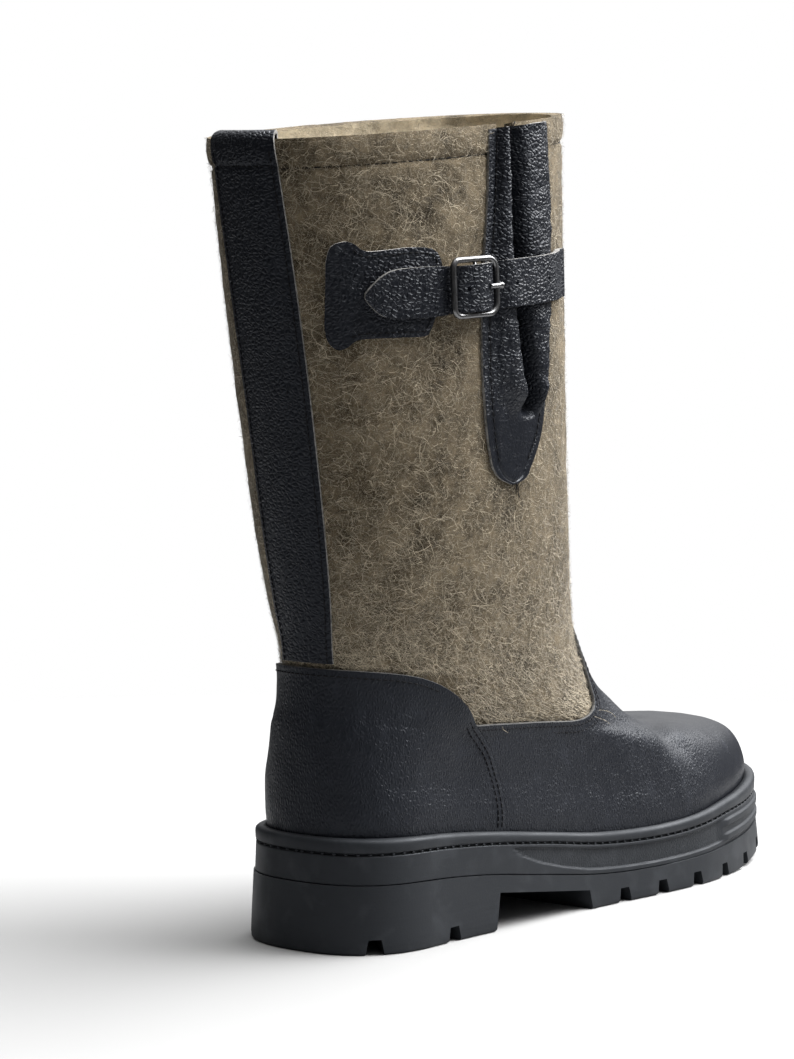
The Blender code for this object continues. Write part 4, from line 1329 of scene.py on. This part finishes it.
def build_buckle(looks):
    steel = finish_of("polished_steel", steel_material, tuple(looks.steel))
    place = buckle_matrix()
    shape = bmesh.new()
    outline = frame_outline()
    wire_shape(shape, outline, [WIRE] * len(outline), place, cyclic=True, sides=20)
    bar_reach = BUCKLE_SIDE_REACH - WIRE / 2.0
    bar = [(0.0, 0.0, height) for height in np.linspace(-bar_reach, bar_reach, BAR_POINTS)]
    wire_shape(shape, bar, [BAR_SHARE * WIRE] * len(bar), place)
    make_piece("buckle_frame_steel", closed_shape(shape), [steel], ["buckle_frame"])
    shape = bmesh.new()
    lift = -(WIRE + GAP + PRONG * (1.0 + PRONG_BALL))
    shares = np.linspace(0.0, 1.0, PRONG_POINTS)
    prong = [(PRONG_START + (PRONG_END - PRONG_START) * share, lift, 0.0) for share in shares]
    past = np.clip((shares - PRONG_TIP_START) / PRONG_TIP_RUN, 0.0, 1.0)
    tip = np.sqrt(np.clip(1.0 - past ** 2, PRONG_TIP_LEAST, 1.0))
    ball = 1.0 + PRONG_BALL * np.exp(-(((shares - PRONG_BALL_PLACE) / PRONG_BALL_SPREAD) ** 2))
    wire_shape(shape, prong, PRONG * ball * tip, place)
    make_piece("buckle_prong_steel", closed_shape(shape), [steel], ["buckle_prong"])


def wall_relief(x, share):
    """Set-in of the recessed side panel and of the two ribs round the toe, and the panel's mask."""
    low_edge = np.interp(x, PANEL[:, 0], PANEL[:, 1])
    panel = (eased((share - low_edge) / PANEL_LOW_EASE) * eased((PANEL_TOP_SHARE - share) / PANEL_TOP_EASE)
             * eased((PANEL[-1, 0] - x) / PANEL_END_EASE) * eased((x - PANEL[0, 0]) / PANEL_END_EASE))
    at_toe = eased((x - RIB_START) / RIB_RUN)
    wave = -np.cos(RIBS * FULL_TURN * share)
    rib = RIB_HEIGHT * at_toe * 0.5 * (1.0 + np.clip(RIB_EDGE * wave, -1.0, 1.0))
    return PANEL_DEPTH * panel - rib, panel


def midsole_rings(turn):
    """Rings of the cup from its foot, up the wall, groove and bead, and down its inner face."""
    x = plan_point(turn)[:, 0]
    foot = level("parting", x)
    wall_top = level("groove", x) - GROOVE_UNDER
    none = np.zeros(turn.shape)
    rings = [sole_ring(turn, foot, CUP_FOOT_INSET)]
    masks = [none]
    for share in np.linspace(0.0, 1.0, WALL_ROWS):
        relief, panel = wall_relief(x, share)
        inset = WALL_FOOT_INSET + (WALL_TOP_INSET - WALL_FOOT_INSET) * share + relief
        rings.append(sole_ring(turn, foot + (wall_top - foot) * share, inset))
        masks.append(panel)
    for name, over, inset in BEAD:
        rings.append(sole_ring(turn, level(name, x) + over, inset))
        masks.append(none)
    clear = np.full(turn.shape, PANEL_FACE + RIM_GAP)
    bead = level("bead", felt_form(turn, none)[:, 0])
    rings.append(felt_at(turn, rise_at(turn, bead - BEAD_LAP, high=CUP_RISE), clear))
    floor = felt_at(turn, none, clear)
    floor[:, 2] -= GAP
    rings.append(floor)
    masks += [none, none]
    return np.array(rings), np.array(masks)


def lay_rings(rings):
    """A tube through rings of points, with both its ends filled."""
    count = len(rings[0])

    def place(across, along):
        row = np.rint(along * (len(rings) - 1)).astype(int)
        column = np.rint(across * count).astype(int) % count
        return rings[row, column]

    shape = lay_grid(count, len(rings) - 1, place, closed=True)
    rims = [edge for edge in shape.edges if edge.is_boundary]
    bmesh.ops.holes_fill(shape, edges=rims, sides=0)
    bmesh.ops.recalc_face_normals(shape, faces=shape.faces)
    return shape


def rubber_of(looks):
    return finish_of("black_rubber", rubber_material, tuple(looks.rubber), RUBBER_ROUGHNESS)


def mark_panel(piece, rings, masks):
    """Keep where the textured panel lies, for the rubber's grain."""
    layer = piece.data.attributes.new("panel", "FLOAT", "POINT")
    marked = rings[masks > 0.5] * MM
    cells = {tuple(np.rint(point / MERGE).astype(int)) for point in marked}
    for index, vertex in enumerate(piece.data.vertices):
        key = tuple(np.rint(np.array(vertex.co) / MERGE).astype(int))
        layer.data[index].value = 1.0 if key in cells else 0.0


def build_midsole(looks):
    turn = np.arange(SOLE_COLUMNS) * FULL_TURN / SOLE_COLUMNS
    rings, masks = midsole_rings(turn)
    piece = make_piece("midsole_rubber", lay_rings(rings), [rubber_of(looks)], ["midsole"])
    mark_panel(piece, rings, masks)


def underside(x):
    """Height of the tread: flat, with a little spring under the toe."""
    return SPRING * np.clip((x - SPRING_START) / (SOLE_TOE - SPRING_START), 0.0, 1.0) ** 2


def lug_cut_shape():
    """Channels from the edge of heel and forefoot, narrower at the top."""
    shape = bmesh.new()
    for station in LUG_STATIONS:
        turn = math.acos(1.0 - 2.0 * (station - SOLE_BACK) / SOLE_LENGTH)
        for side_turn in (turn, FULL_TURN - turn):
            edge = plan_point(np.array((side_turn,)))[0]
            outward = plan_normal(np.array((side_turn,)))[0]
            top = float(underside(edge[0])) + LUG_CUT_HEIGHT
            size = Vector((2.0 * LUG_CUT_REACH, LUG_CUT_WIDTH, 2.0 * top))
            heading = math.atan2(outward[1], outward[0])
            made = bmesh.ops.create_cube(shape, size=1.0)["verts"]
            for vertex in made:
                if vertex.co.z > 0.0:
                    vertex.co.y *= LUG_CUT_TAPER
            place = Matrix.Translation(Vector((edge[0], edge[1], 0.0)) * MM)
            place = place @ Matrix.Rotation(heading, 4, "Z") @ Matrix.Diagonal((*(size * MM), 1.0))
            bmesh.ops.transform(shape, matrix=place, verts=made)
    return shape


def waist_cut_shape():
    """The hollow in front of the heel block."""
    shape = bmesh.new()
    half = 2.0 * HEEL_HALF_WIDTH * MM
    corners = [shape.verts.new((x * MM, -half, z * MM)) for x, z in WAIST]
    side = shape.faces.new(corners)
    drawn = bmesh.ops.extrude_face_region(shape, geom=[side])["geom"]
    moved = [item for item in drawn if isinstance(item, bmesh.types.BMVert)]
    bmesh.ops.translate(shape, verts=moved, vec=(0.0, 2.0 * half, 0.0))
    bmesh.ops.recalc_face_normals(shape, faces=shape.faces)
    return shape


def cut_away(shape, cutters):
    """A bmesh with other shapes taken out of it, as a mesh."""
    body = add_object("rubber_blank", mesh_of("rubber_blank", shape))
    knives = [add_object("rubber_knife", mesh_of("rubber_knife", cutter)) for cutter in cutters]
    for knife in knives:
        cut = body.modifiers.new("cut", "BOOLEAN")
        cut.operation = "DIFFERENCE"
        cut.object = knife
    graph = bpy.context.evaluated_depsgraph_get()
    mesh = bpy.data.meshes.new_from_object(body.evaluated_get(graph))
    for item in (body, *knives):
        bpy.data.objects.remove(item, do_unlink=True)
    return mesh


def build_outsole(looks):
    turn = np.arange(SOLE_COLUMNS) * FULL_TURN / SOLE_COLUMNS
    x = plan_point(turn)[:, 0]
    low = underside(x)
    top = level("parting", x) - GAP
    rings = []
    for angle in np.linspace(0.0, math.pi / 2.0, OUTSOLE_ROUND_ROWS):
        inset = EDGE_ROUND * (1.0 - math.sin(angle))
        rings.append(sole_ring(turn, low + EDGE_ROUND * (1.0 - math.cos(angle)), inset))
    foot = low + EDGE_ROUND
    for share in np.linspace(0.0, 1.0, OUTSOLE_WALL_ROWS)[1:]:
        rings.append(sole_ring(turn, foot + (top - foot) * share, OUTSOLE_TOP_INSET * share))
    mesh = cut_away(lay_rings(np.array(rings)), [waist_cut_shape(), lug_cut_shape()])
    piece = make_piece("outsole_rubber", mesh, [rubber_of(looks)], ["outsole"])
    mesh.set_sharp_from_angle(angle=math.radians(OUTSOLE_SHARP_ANGLE))
    edge = round_edges(piece, CUT_EDGE_ROUND, 2, CUT_EDGE_ANGLE)
    edge.harden_normals = True


def sewn_row(points, outward, inset, pitch):
    """Middles, directions and normals of stitches along a line, moved sideways over its surface."""
    along = unit(np.gradient(points, axis=0))
    line = points + np.cross(outward, along) * inset
    steps = np.linalg.norm(np.diff(line, axis=0), axis=1)
    run = np.concatenate(((0.0,), np.cumsum(steps)))
    spots = np.arange(pitch / 2.0, run[-1], pitch)

    def at_spots(rows):
        return np.column_stack([np.interp(spots, run, column) for column in rows.T])

    return at_spots(line), unit(at_spots(along)), unit(at_spots(outward))


def stitch_shape():
    """One stitch: a rounded grain of unit size."""
    shape = bmesh.new()
    bmesh.ops.create_uvsphere(shape, u_segments=6, v_segments=5, radius=0.5)
    points = np.array([vertex.co[:] for vertex in shape.verts])
    faces = [[vertex.index for vertex in face.verts] for face in shape.faces]
    shape.free()
    return points, faces


def stitches_mesh(name, rows, length, thick, lift):
    """All stitches of some rows, joined in one mesh."""
    grain, grain_faces = stitch_shape()
    middles, ways, normals = (np.concatenate(part) for part in zip(*rows))
    across = np.cross(normals, ways)
    points = ((middles + normals * lift)[:, None, :]
              + grain[None, :, 2:3] * ways[:, None, :] * length
              + grain[None, :, 0:1] * across[:, None, :] * thick
              + grain[None, :, 1:2] * normals[:, None, :] * thick)
    faces = []
    for index in range(len(middles)):
        first = index * len(grain)
        faces.extend([[first + corner for corner in face] for face in grain_faces])
    return mesh_through(name, points.reshape(-1, 3), faces)


def face_line(place, across, along):
    """Points of a sheet's face along a line, with the normals there."""
    low_u, high_u = either_side(across, FACE_STEP)
    low_v, high_v = either_side(along, FACE_STEP)
    round_way = place(high_u, along) - place(low_u, along)
    up_way = place(across, high_v) - place(across, low_v)
    return place(across, along), unit(np.cross(round_way, up_way))


# Sewn edges: the sheet, how far the line runs across and along it, its points, and how far in rows are sewn
SEWN_EDGES = (
    (place_vamp, (0.004, 0.996), (1.0, 1.0), 240, (-1.9, -4.6)),
    (place_counter, (0.05, 0.95), (1.0, 1.0), 240, (-2.6,)),
    (place_counter, (1.0, 1.0), (0.10, 0.93), 120, (2.0, 4.4)),
    (place_counter, (0.0, 0.0), (0.10, 0.93), 120, (-2.0, -4.4)),
    (place_strip, (1.0, 1.0), (0.0, 0.76), 160, (2.2,)),
    (place_strip, (0.0, 0.0), (0.0, 0.76), 160, (-2.2,)),
    (place_gusset, (1.0, 1.0), (0.10, 0.28), 120, (GUSSET_SEAM,)),
    (place_gusset, (0.0, 0.0), (0.10, 1.0), 120, (-GUSSET_SEAM,)),
    (place_tab, (0.42, 0.9), (1.0, 1.0), 60, (-2.0,)),
    (place_tab, (0.42, 0.9), (0.0, 0.0), 60, (2.0,)),
)


def edge_rows(pitch):
    """Stitches along the edges of the leather."""
    rows = []
    for place, across, along, count, insets in SEWN_EDGES:
        line = face_line(place, np.linspace(*across, count), np.linspace(*along, count))
        rows.extend(sewn_row(*line, inset, pitch) for inset in insets)
    return rows


def cross_row(pitch):
    """Stitches across the strip, over the hem's line."""
    turn = np.linspace(-CROSS_REACH * STRIP_TURN, CROSS_REACH * STRIP_TURN, CROSS_POINTS)
    rise = np.full(turn.shape, 1.0 - STRIP_CROSS_RINGS / LAST_RING)
    points = felt_at(turn, rise, np.full(turn.shape, GAP + LEATHER - STRIP_DENT))
    return sewn_row(points, felt_normal(turn, rise), 0.0, pitch)


def hem_row(pitch):
    """Stitches of the line sewn under the felt's rim."""
    turn = np.linspace(STRIP_TURN, FULL_TURN - STRIP_TURN, HEM_POINTS)
    top = felt_form(turn, np.ones(turn.shape))[:, 2]
    rise = rise_at(turn, top - HEM_DROP, low=HEM_LOW_RISE)
    points = felt_at(turn, rise, np.full(turn.shape, -HEM_DEPTH))
    middles, ways, normals = sewn_row(points, felt_normal(turn, rise), 0.0, pitch)
    gusset_middle, gusset_half, _ = gusset_edges(GUSSET[-1, 0])
    away = np.abs(middles[:, 0] - gusset_middle)
    clear = (away > gusset_half + GUSSET_CLEAR) | (middles[:, 1] > 0.0)
    return middles[clear], ways[clear], normals[clear]


def groove_row(pitch):
    """Moulded stitches in the groove of the sole."""
    turn = np.linspace(0.0, FULL_TURN, GROOVE_POINTS)
    x = plan_point(turn)[:, 0]
    points = sole_ring(turn, level("groove", x), GROOVE_STITCH_INSET)
    outward = np.column_stack((plan_normal(turn), np.zeros(turn.shape)))
    return sewn_row(points, outward, 0.0, pitch)


def build_stitching(looks):
    pitch = looks.stitch_pitch / MM
    rows = edge_rows(pitch) + [cross_row(pitch)]
    mesh = stitches_mesh("leather_stitching", rows, pitch - STITCH_GAP, STITCH_THICK, STITCH_LIFT)
    make_piece("leather_stitching", mesh, [dark_thread(looks)])
    hem_pitch = HEM_STITCH_PITCH * pitch
    hem = stitches_mesh("hem_stitching", [hem_row(hem_pitch)],
                        hem_pitch - STITCH_GAP, HEM_STITCH_THICK, HEM_STITCH_LIFT)
    make_piece("hem_stitching", hem, [dark_thread(looks)])
    groove = stitches_mesh("groove_stitching", [groove_row(GROOVE_STITCH_PITCH * pitch)],
                           GROOVE_STITCH_LENGTH, GROOVE_STITCH_THICK, 0.0)
    make_piece("groove_stitching", groove, [rubber_of(looks)])


def bare_felt_low(turn):
    """Rise above which the felt shows."""
    away = np.minimum(turn, FULL_TURN - turn)
    over_vamp = vamp_rise(np.maximum(turn, VAMP_TABLE_START))
    return np.where(away < COUNTER_EDGE, COUNTER_RING / LAST_RING, over_vamp)


def fibre_roots(chance, count):
    """Turn and rise of places on the felt that shows, and the hem's relief there."""
    turn = chance.uniform(0.0, FULL_TURN, count)
    low = bare_felt_low(turn)
    rise = low + (1.0 - low) * chance.uniform(0.0, 1.0, count)
    bare = felt_form(turn, rise)
    middle, half, _ = gusset_edges(np.clip(bare[:, 2], GUSSET[0, 0], GUSSET[-1, 0]))
    within = np.abs(bare[:, 0] - middle) < half - GUSSET_CLEAR
    shows = ~((bare[:, 1] < 0.0) & (bare[:, 2] > GUSSET[0, 0]) & within)
    return turn[shows], rise[shows], hem_relief(bare[shows], turn[shows])


def fibre_lines(chance, turn, rise, hem, shortest, longest, stand, joints):
    """Points along fibres that wander over the felt from their roots, joint by joint."""
    count = len(turn)
    length = shortest + (longest - shortest) * chance.uniform(0.0, 1.0, count) ** 2
    heading = chance.normal(0.0, FIBRE_SPREAD, count) + math.pi * chance.randint(0, 2, count)
    curl = chance.normal(0.0, FIBRE_CURL, count)
    lift_end = stand * chance.uniform(*FIBRE_STAND, count)
    low, high = either_side(rise, STEP)
    round_way = felt_form(turn + STEP, rise) - felt_form(turn - STEP, rise)
    round_size = np.linalg.norm(round_way, axis=1) / (2 * STEP)
    up_size = np.linalg.norm(felt_form(turn, high) - felt_form(turn, low), axis=1) / (high - low)
    stride = length / (joints - 1)
    lines = []
    for joint in range(joints):
        share = joint / (joints - 1)
        lift = hem + FIBRE_LIFT + np.maximum(lift_end * share ** FIBRE_LIFT_POWER, FIBRE_DIP)
        lines.append(felt_at(turn, np.clip(rise, FIBRE_LOW_RISE, 1.0), lift))
        angle = heading + curl * share * 2.0
        turn = turn + stride * np.cos(angle) / round_size
        rise = rise + stride * np.sin(angle) / up_size
    return np.stack(lines, axis=1)


def fibre_mesh(name, count, seed, shortest, longest, stand, width, joints):
    """Loose wool as flat ribbons that wander over the felt, joined in one mesh."""
    chance = np.random.RandomState(seed)
    turn, rise, hem = fibre_roots(chance, count)
    count = len(turn)
    lines = fibre_lines(chance, turn, rise, hem, shortest, longest, stand, joints)
    along = unit(np.gradient(lines, axis=1))
    normals = felt_normal(turn, rise)[:, None, :]
    side = unit(np.cross(np.broadcast_to(normals, along.shape), along))
    taper = np.linspace(1.0, FIBRE_TAPER, joints)[None, :, None]
    half = side * taper * (width * chance.uniform(*FIBRE_WIDTHS, count))[:, None, None] / 2.0
    points = np.stack((lines - half, lines + half), axis=2).reshape(-1, 3)
    first = (np.arange(count) * joints * 2)[:, None]
    ladder = (np.arange(joints - 1) * 2)[None, :]
    corner = (first + ladder).reshape(-1)
    faces = np.stack((corner, corner + 1, corner + 3, corner + 2), axis=1)
    mesh = mesh_through(name, points, faces.tolist())
    shade = chance.beta(*FIBRE_SHADES, count)
    layer = mesh.attributes.new("shade", "FLOAT", "POINT")
    layer.data.foreach_set("value", np.repeat(shade, joints * 2).astype(np.float32))
    return mesh


def loose_shape(paths, place, radius):
    """A few loose ends as thin round wires, each through points that place lays on the boot."""
    shape = bmesh.new()
    shares = np.linspace(0.0, 1.0, LOOSE_POINTS)
    for path in paths:
        points = place(*along_rows(shares, np.array(path)))
        wire_shape(shape, points.tolist(), [radius] * len(points), Matrix.Scale(MM, 4), sides=8)
    return closed_shape(shape)


def foot_spot(degrees, ring, lift):
    return felt_at(np.radians(degrees), ring / LAST_RING, PANEL_FACE + lift)


def build_loose_ends(looks):
    threads = loose_shape(LOOSE_THREADS, shaft_at, THREAD_RADIUS)
    make_piece("loose_thread", threads, [dark_thread(looks)])
    hairs = loose_shape(LOOSE_HAIRS, foot_spot, HAIR_RADIUS)
    make_piece("loose_hairs", hairs, [pale_hair(looks)])


def build_wool(looks):
    nap = fibre_mesh("felt_nap", looks.nap_count, *NAP)
    make_piece("felt_nap", nap, [wool_fibre(looks)])
    hairs = fibre_mesh("felt_hairs", looks.hair_count, *HAIRS)
    make_piece("felt_hairs", hairs, [wool_fibre(looks)])


def dress_insole(looks):
    """The insole keeps its solid, in wool felt."""
    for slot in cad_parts["insole"].material_slots:
        slot.material = wool_felt(looks)


def build_floor():
    shape = bmesh.new()
    bmesh.ops.create_circle(shape, cap_ends=True, segments=FLOOR_TURNS, radius=FLOOR_RADIUS)
    mesh = mesh_of("floor", shape)
    material, tree, shader = new_material("pale_floor")
    coordinates = add_node(tree, "ShaderNodeTexCoord")
    away = add_node(tree, "ShaderNodeVectorMath", {0: coordinates.outputs["Object"]}, operation="LENGTH")
    soft = cloud(tree, stretched(tree), scale=2.0, detail=2.0)
    fill(tree, shader.inputs, {
        "Base Color": blended(tree, soft, *FLOOR_SHADES),
        "Roughness": 0.9,
        "Specular IOR Level": 0.1,
        "Alpha": ranged(tree, away.outputs["Value"], *FLOOR_FADE, 1.0, 0.0),
    })
    mesh.materials.append(material)
    floor = add_object("floor", mesh)


def build_sky(looks):
    """White behind the boot, and a dark room with bright sides and a bright top that lights it."""
    world = bpy.data.worlds.new("studio")
    bpy.context.scene.world = world
    world.use_nodes = True
    tree = world.node_tree
    coordinates = add_node(tree, "ShaderNodeTexCoord")
    strength = looks.sky_low
    for side, low, high, lobe in SKY_LOBES:
        facing = add_node(tree, "ShaderNodeVectorMath", {
            0: coordinates.outputs["Generated"], 1: Vector(side).normalized()}, operation="DOT_PRODUCT")
        bright = ranged(tree, facing.outputs["Value"], low, high, 0.0, lobe * looks.sky_lobes)
        strength = reckoned(tree, "ADD", strength, bright)
    rays = add_node(tree, "ShaderNodeLightPath")
    seen = add_node(tree, "ShaderNodeMix", {
        "Factor": rays.outputs["Is Camera Ray"], "A": strength, "B": 1.0}, data_type="FLOAT")
    fill(tree, tree.nodes["Background"].inputs, {
        "Strength": seen.outputs["Result"], "Color": (1.0, 1.0, 1.0, 1.0)})


def add_aimed(name, data, place, target):
    """A light or a camera at a place, turned to a target."""
    item = add_object(name, data)
    item.location = place
    item.rotation_euler = (Vector(target) - Vector(place)).to_track_quat("-Z", "Y").to_euler()
    return item


def build_lights():
    for name, place, width, height, power in LIGHTS:
        light = bpy.data.lights.new(name, "AREA")
        light.shape = "RECTANGLE"
        light.size = width
        light.size_y = height
        light.energy = power
        add_aimed(name, light, place, LIGHT_AIM)


def build_camera():
    lens = bpy.data.cameras.new("camera")
    lens.lens = CAMERA_LENS
    lens.sensor_width = CAMERA_SENSOR
    bpy.context.scene.camera = add_aimed("camera", lens, CAMERA_PLACE, CAMERA_AIM)


def colour_property(name, description, default):
    return FloatVectorProperty(name=name, description=description, subtype="COLOR",
                               size=3, min=0.0, max=1.0, default=default)


class BootLooks(bpy.types.PropertyGroup):
    """Colours, counts and light of the boot."""

    felt_dark: colour_property("Felt shade", "Colour in the hollows of the felt", (0.022, 0.016, 0.009))
    felt_light: colour_property("Felt light", "Colour on the crowns of the felt", (0.200, 0.158, 0.102))
    wool_pale: colour_property("Pale wool", "Colour of the palest loose fibres", (0.64, 0.550, 0.400))
    leather: colour_property("Leather", "Colour of the dyed leather", (0.0078, 0.0089, 0.0122))
    leather_edge: colour_property("Leather edge", "Colour of the leather's cut edges", (0.30, 0.29, 0.275))
    rubber: colour_property("Rubber", "Colour of the sole", (0.0145, 0.0160, 0.0184))
    steel: colour_property("Steel", "Colour of the buckle", (0.16, 0.16, 0.163))
    thread: colour_property("Thread", "Colour of the sewing thread", (0.012, 0.012, 0.014))
    stitch_pitch: FloatProperty(name="Stitch pitch", description="From one stitch to the next",
                                default=0.0026, min=0.001, max=0.01, unit="LENGTH")
    nap_count: IntProperty(name="Nap", description="Short loose fibres on the felt",
                           default=45000, min=0, max=48000)
    hair_count: IntProperty(name="Hairs", description="Long loose fibres on the felt",
                            default=18000, min=0, max=19000)
    sky_low: FloatProperty(name="Sky low", description="Strength of the sky away from the light",
                           default=0.05, min=0.0, max=5.0)
    sky_lobes: FloatProperty(name="Sky lobes", description="Strength of the sky's bright sides",
                             default=1.0, min=0.0, max=5.0)


class BOOT_OT_stage(bpy.types.Operator):
    """Make the floor, the light and the camera"""

    bl_idname = "boot.stage"
    bl_label = "Stage"

    def execute(self, context):
        build_camera()
        build_floor()
        build_sky(context.scene.boot_looks)
        build_lights()
        context.scene.view_settings.view_transform = "Standard"
        return {"FINISHED"}


class BOOT_OT_sole(bpy.types.Operator):
    """Make the midsole and the outsole, and dress the insole"""

    bl_idname = "boot.sole"
    bl_label = "Sole"

    def execute(self, context):
        looks = context.scene.boot_looks
        build_midsole(looks)
        build_outsole(looks)
        dress_insole(looks)
        return {"FINISHED"}


class BOOT_OT_felt(bpy.types.Operator):
    """Make the felt upper and its loose wool"""

    bl_idname = "boot.felt"
    bl_label = "Felt"

    def execute(self, context):
        looks = context.scene.boot_looks
        build_felt(looks)
        build_wool(looks)
        return {"FINISHED"}


class BOOT_OT_leather(bpy.types.Operator):
    """Make the vamp, heel counter, back strip and gusset"""

    bl_idname = "boot.leather"
    bl_label = "Leather"

    def execute(self, context):
        looks = context.scene.boot_looks
        build_foot_leather(looks)
        build_strip(looks)
        build_gusset(looks)
        return {"FINISHED"}


class BOOT_OT_strap(bpy.types.Operator):
    """Make the tab, strap and buckle"""

    bl_idname = "boot.strap"
    bl_label = "Strap and buckle"

    def execute(self, context):
        looks = context.scene.boot_looks
        build_strap(looks)
        build_buckle(looks)
        return {"FINISHED"}


class BOOT_OT_stitching(bpy.types.Operator):
    """Sew the leather, the hem and the sole's groove"""

    bl_idname = "boot.stitching"
    bl_label = "Stitching"

    def execute(self, context):
        build_stitching(context.scene.boot_looks)
        build_loose_ends(context.scene.boot_looks)
        return {"FINISHED"}


class BOOT_PT_looks(bpy.types.Panel):
    """Steps and values of the boot"""

    bl_label = "Felt boot"
    bl_idname = "BOOT_PT_looks"
    bl_space_type = "VIEW_3D"
    bl_region_type = "UI"
    bl_category = "Boot"

    def draw(self, context):
        for step in STEPS:
            self.layout.operator(step.bl_idname)
        for name in BootLooks.__annotations__:
            self.layout.prop(context.scene.boot_looks, name)


STEPS = (BOOT_OT_stage, BOOT_OT_sole, BOOT_OT_felt, BOOT_OT_leather, BOOT_OT_strap, BOOT_OT_stitching)
CLASSES = (BootLooks, *STEPS, BOOT_PT_looks)


def register():
    for item in CLASSES:
        bpy.utils.register_class(item)
    bpy.types.Scene.boot_looks = PointerProperty(type=BootLooks)


def unregister():
    del bpy.types.Scene.boot_looks
    for item in reversed(CLASSES):
        bpy.utils.unregister_class(item)


def main():
    register()
    bpy.ops.boot.stage()
    bpy.ops.boot.sole()
    bpy.ops.boot.felt()
    bpy.ops.boot.leather()
    bpy.ops.boot.strap()
    bpy.ops.boot.stitching()


if __name__ == "__main__":
    main()
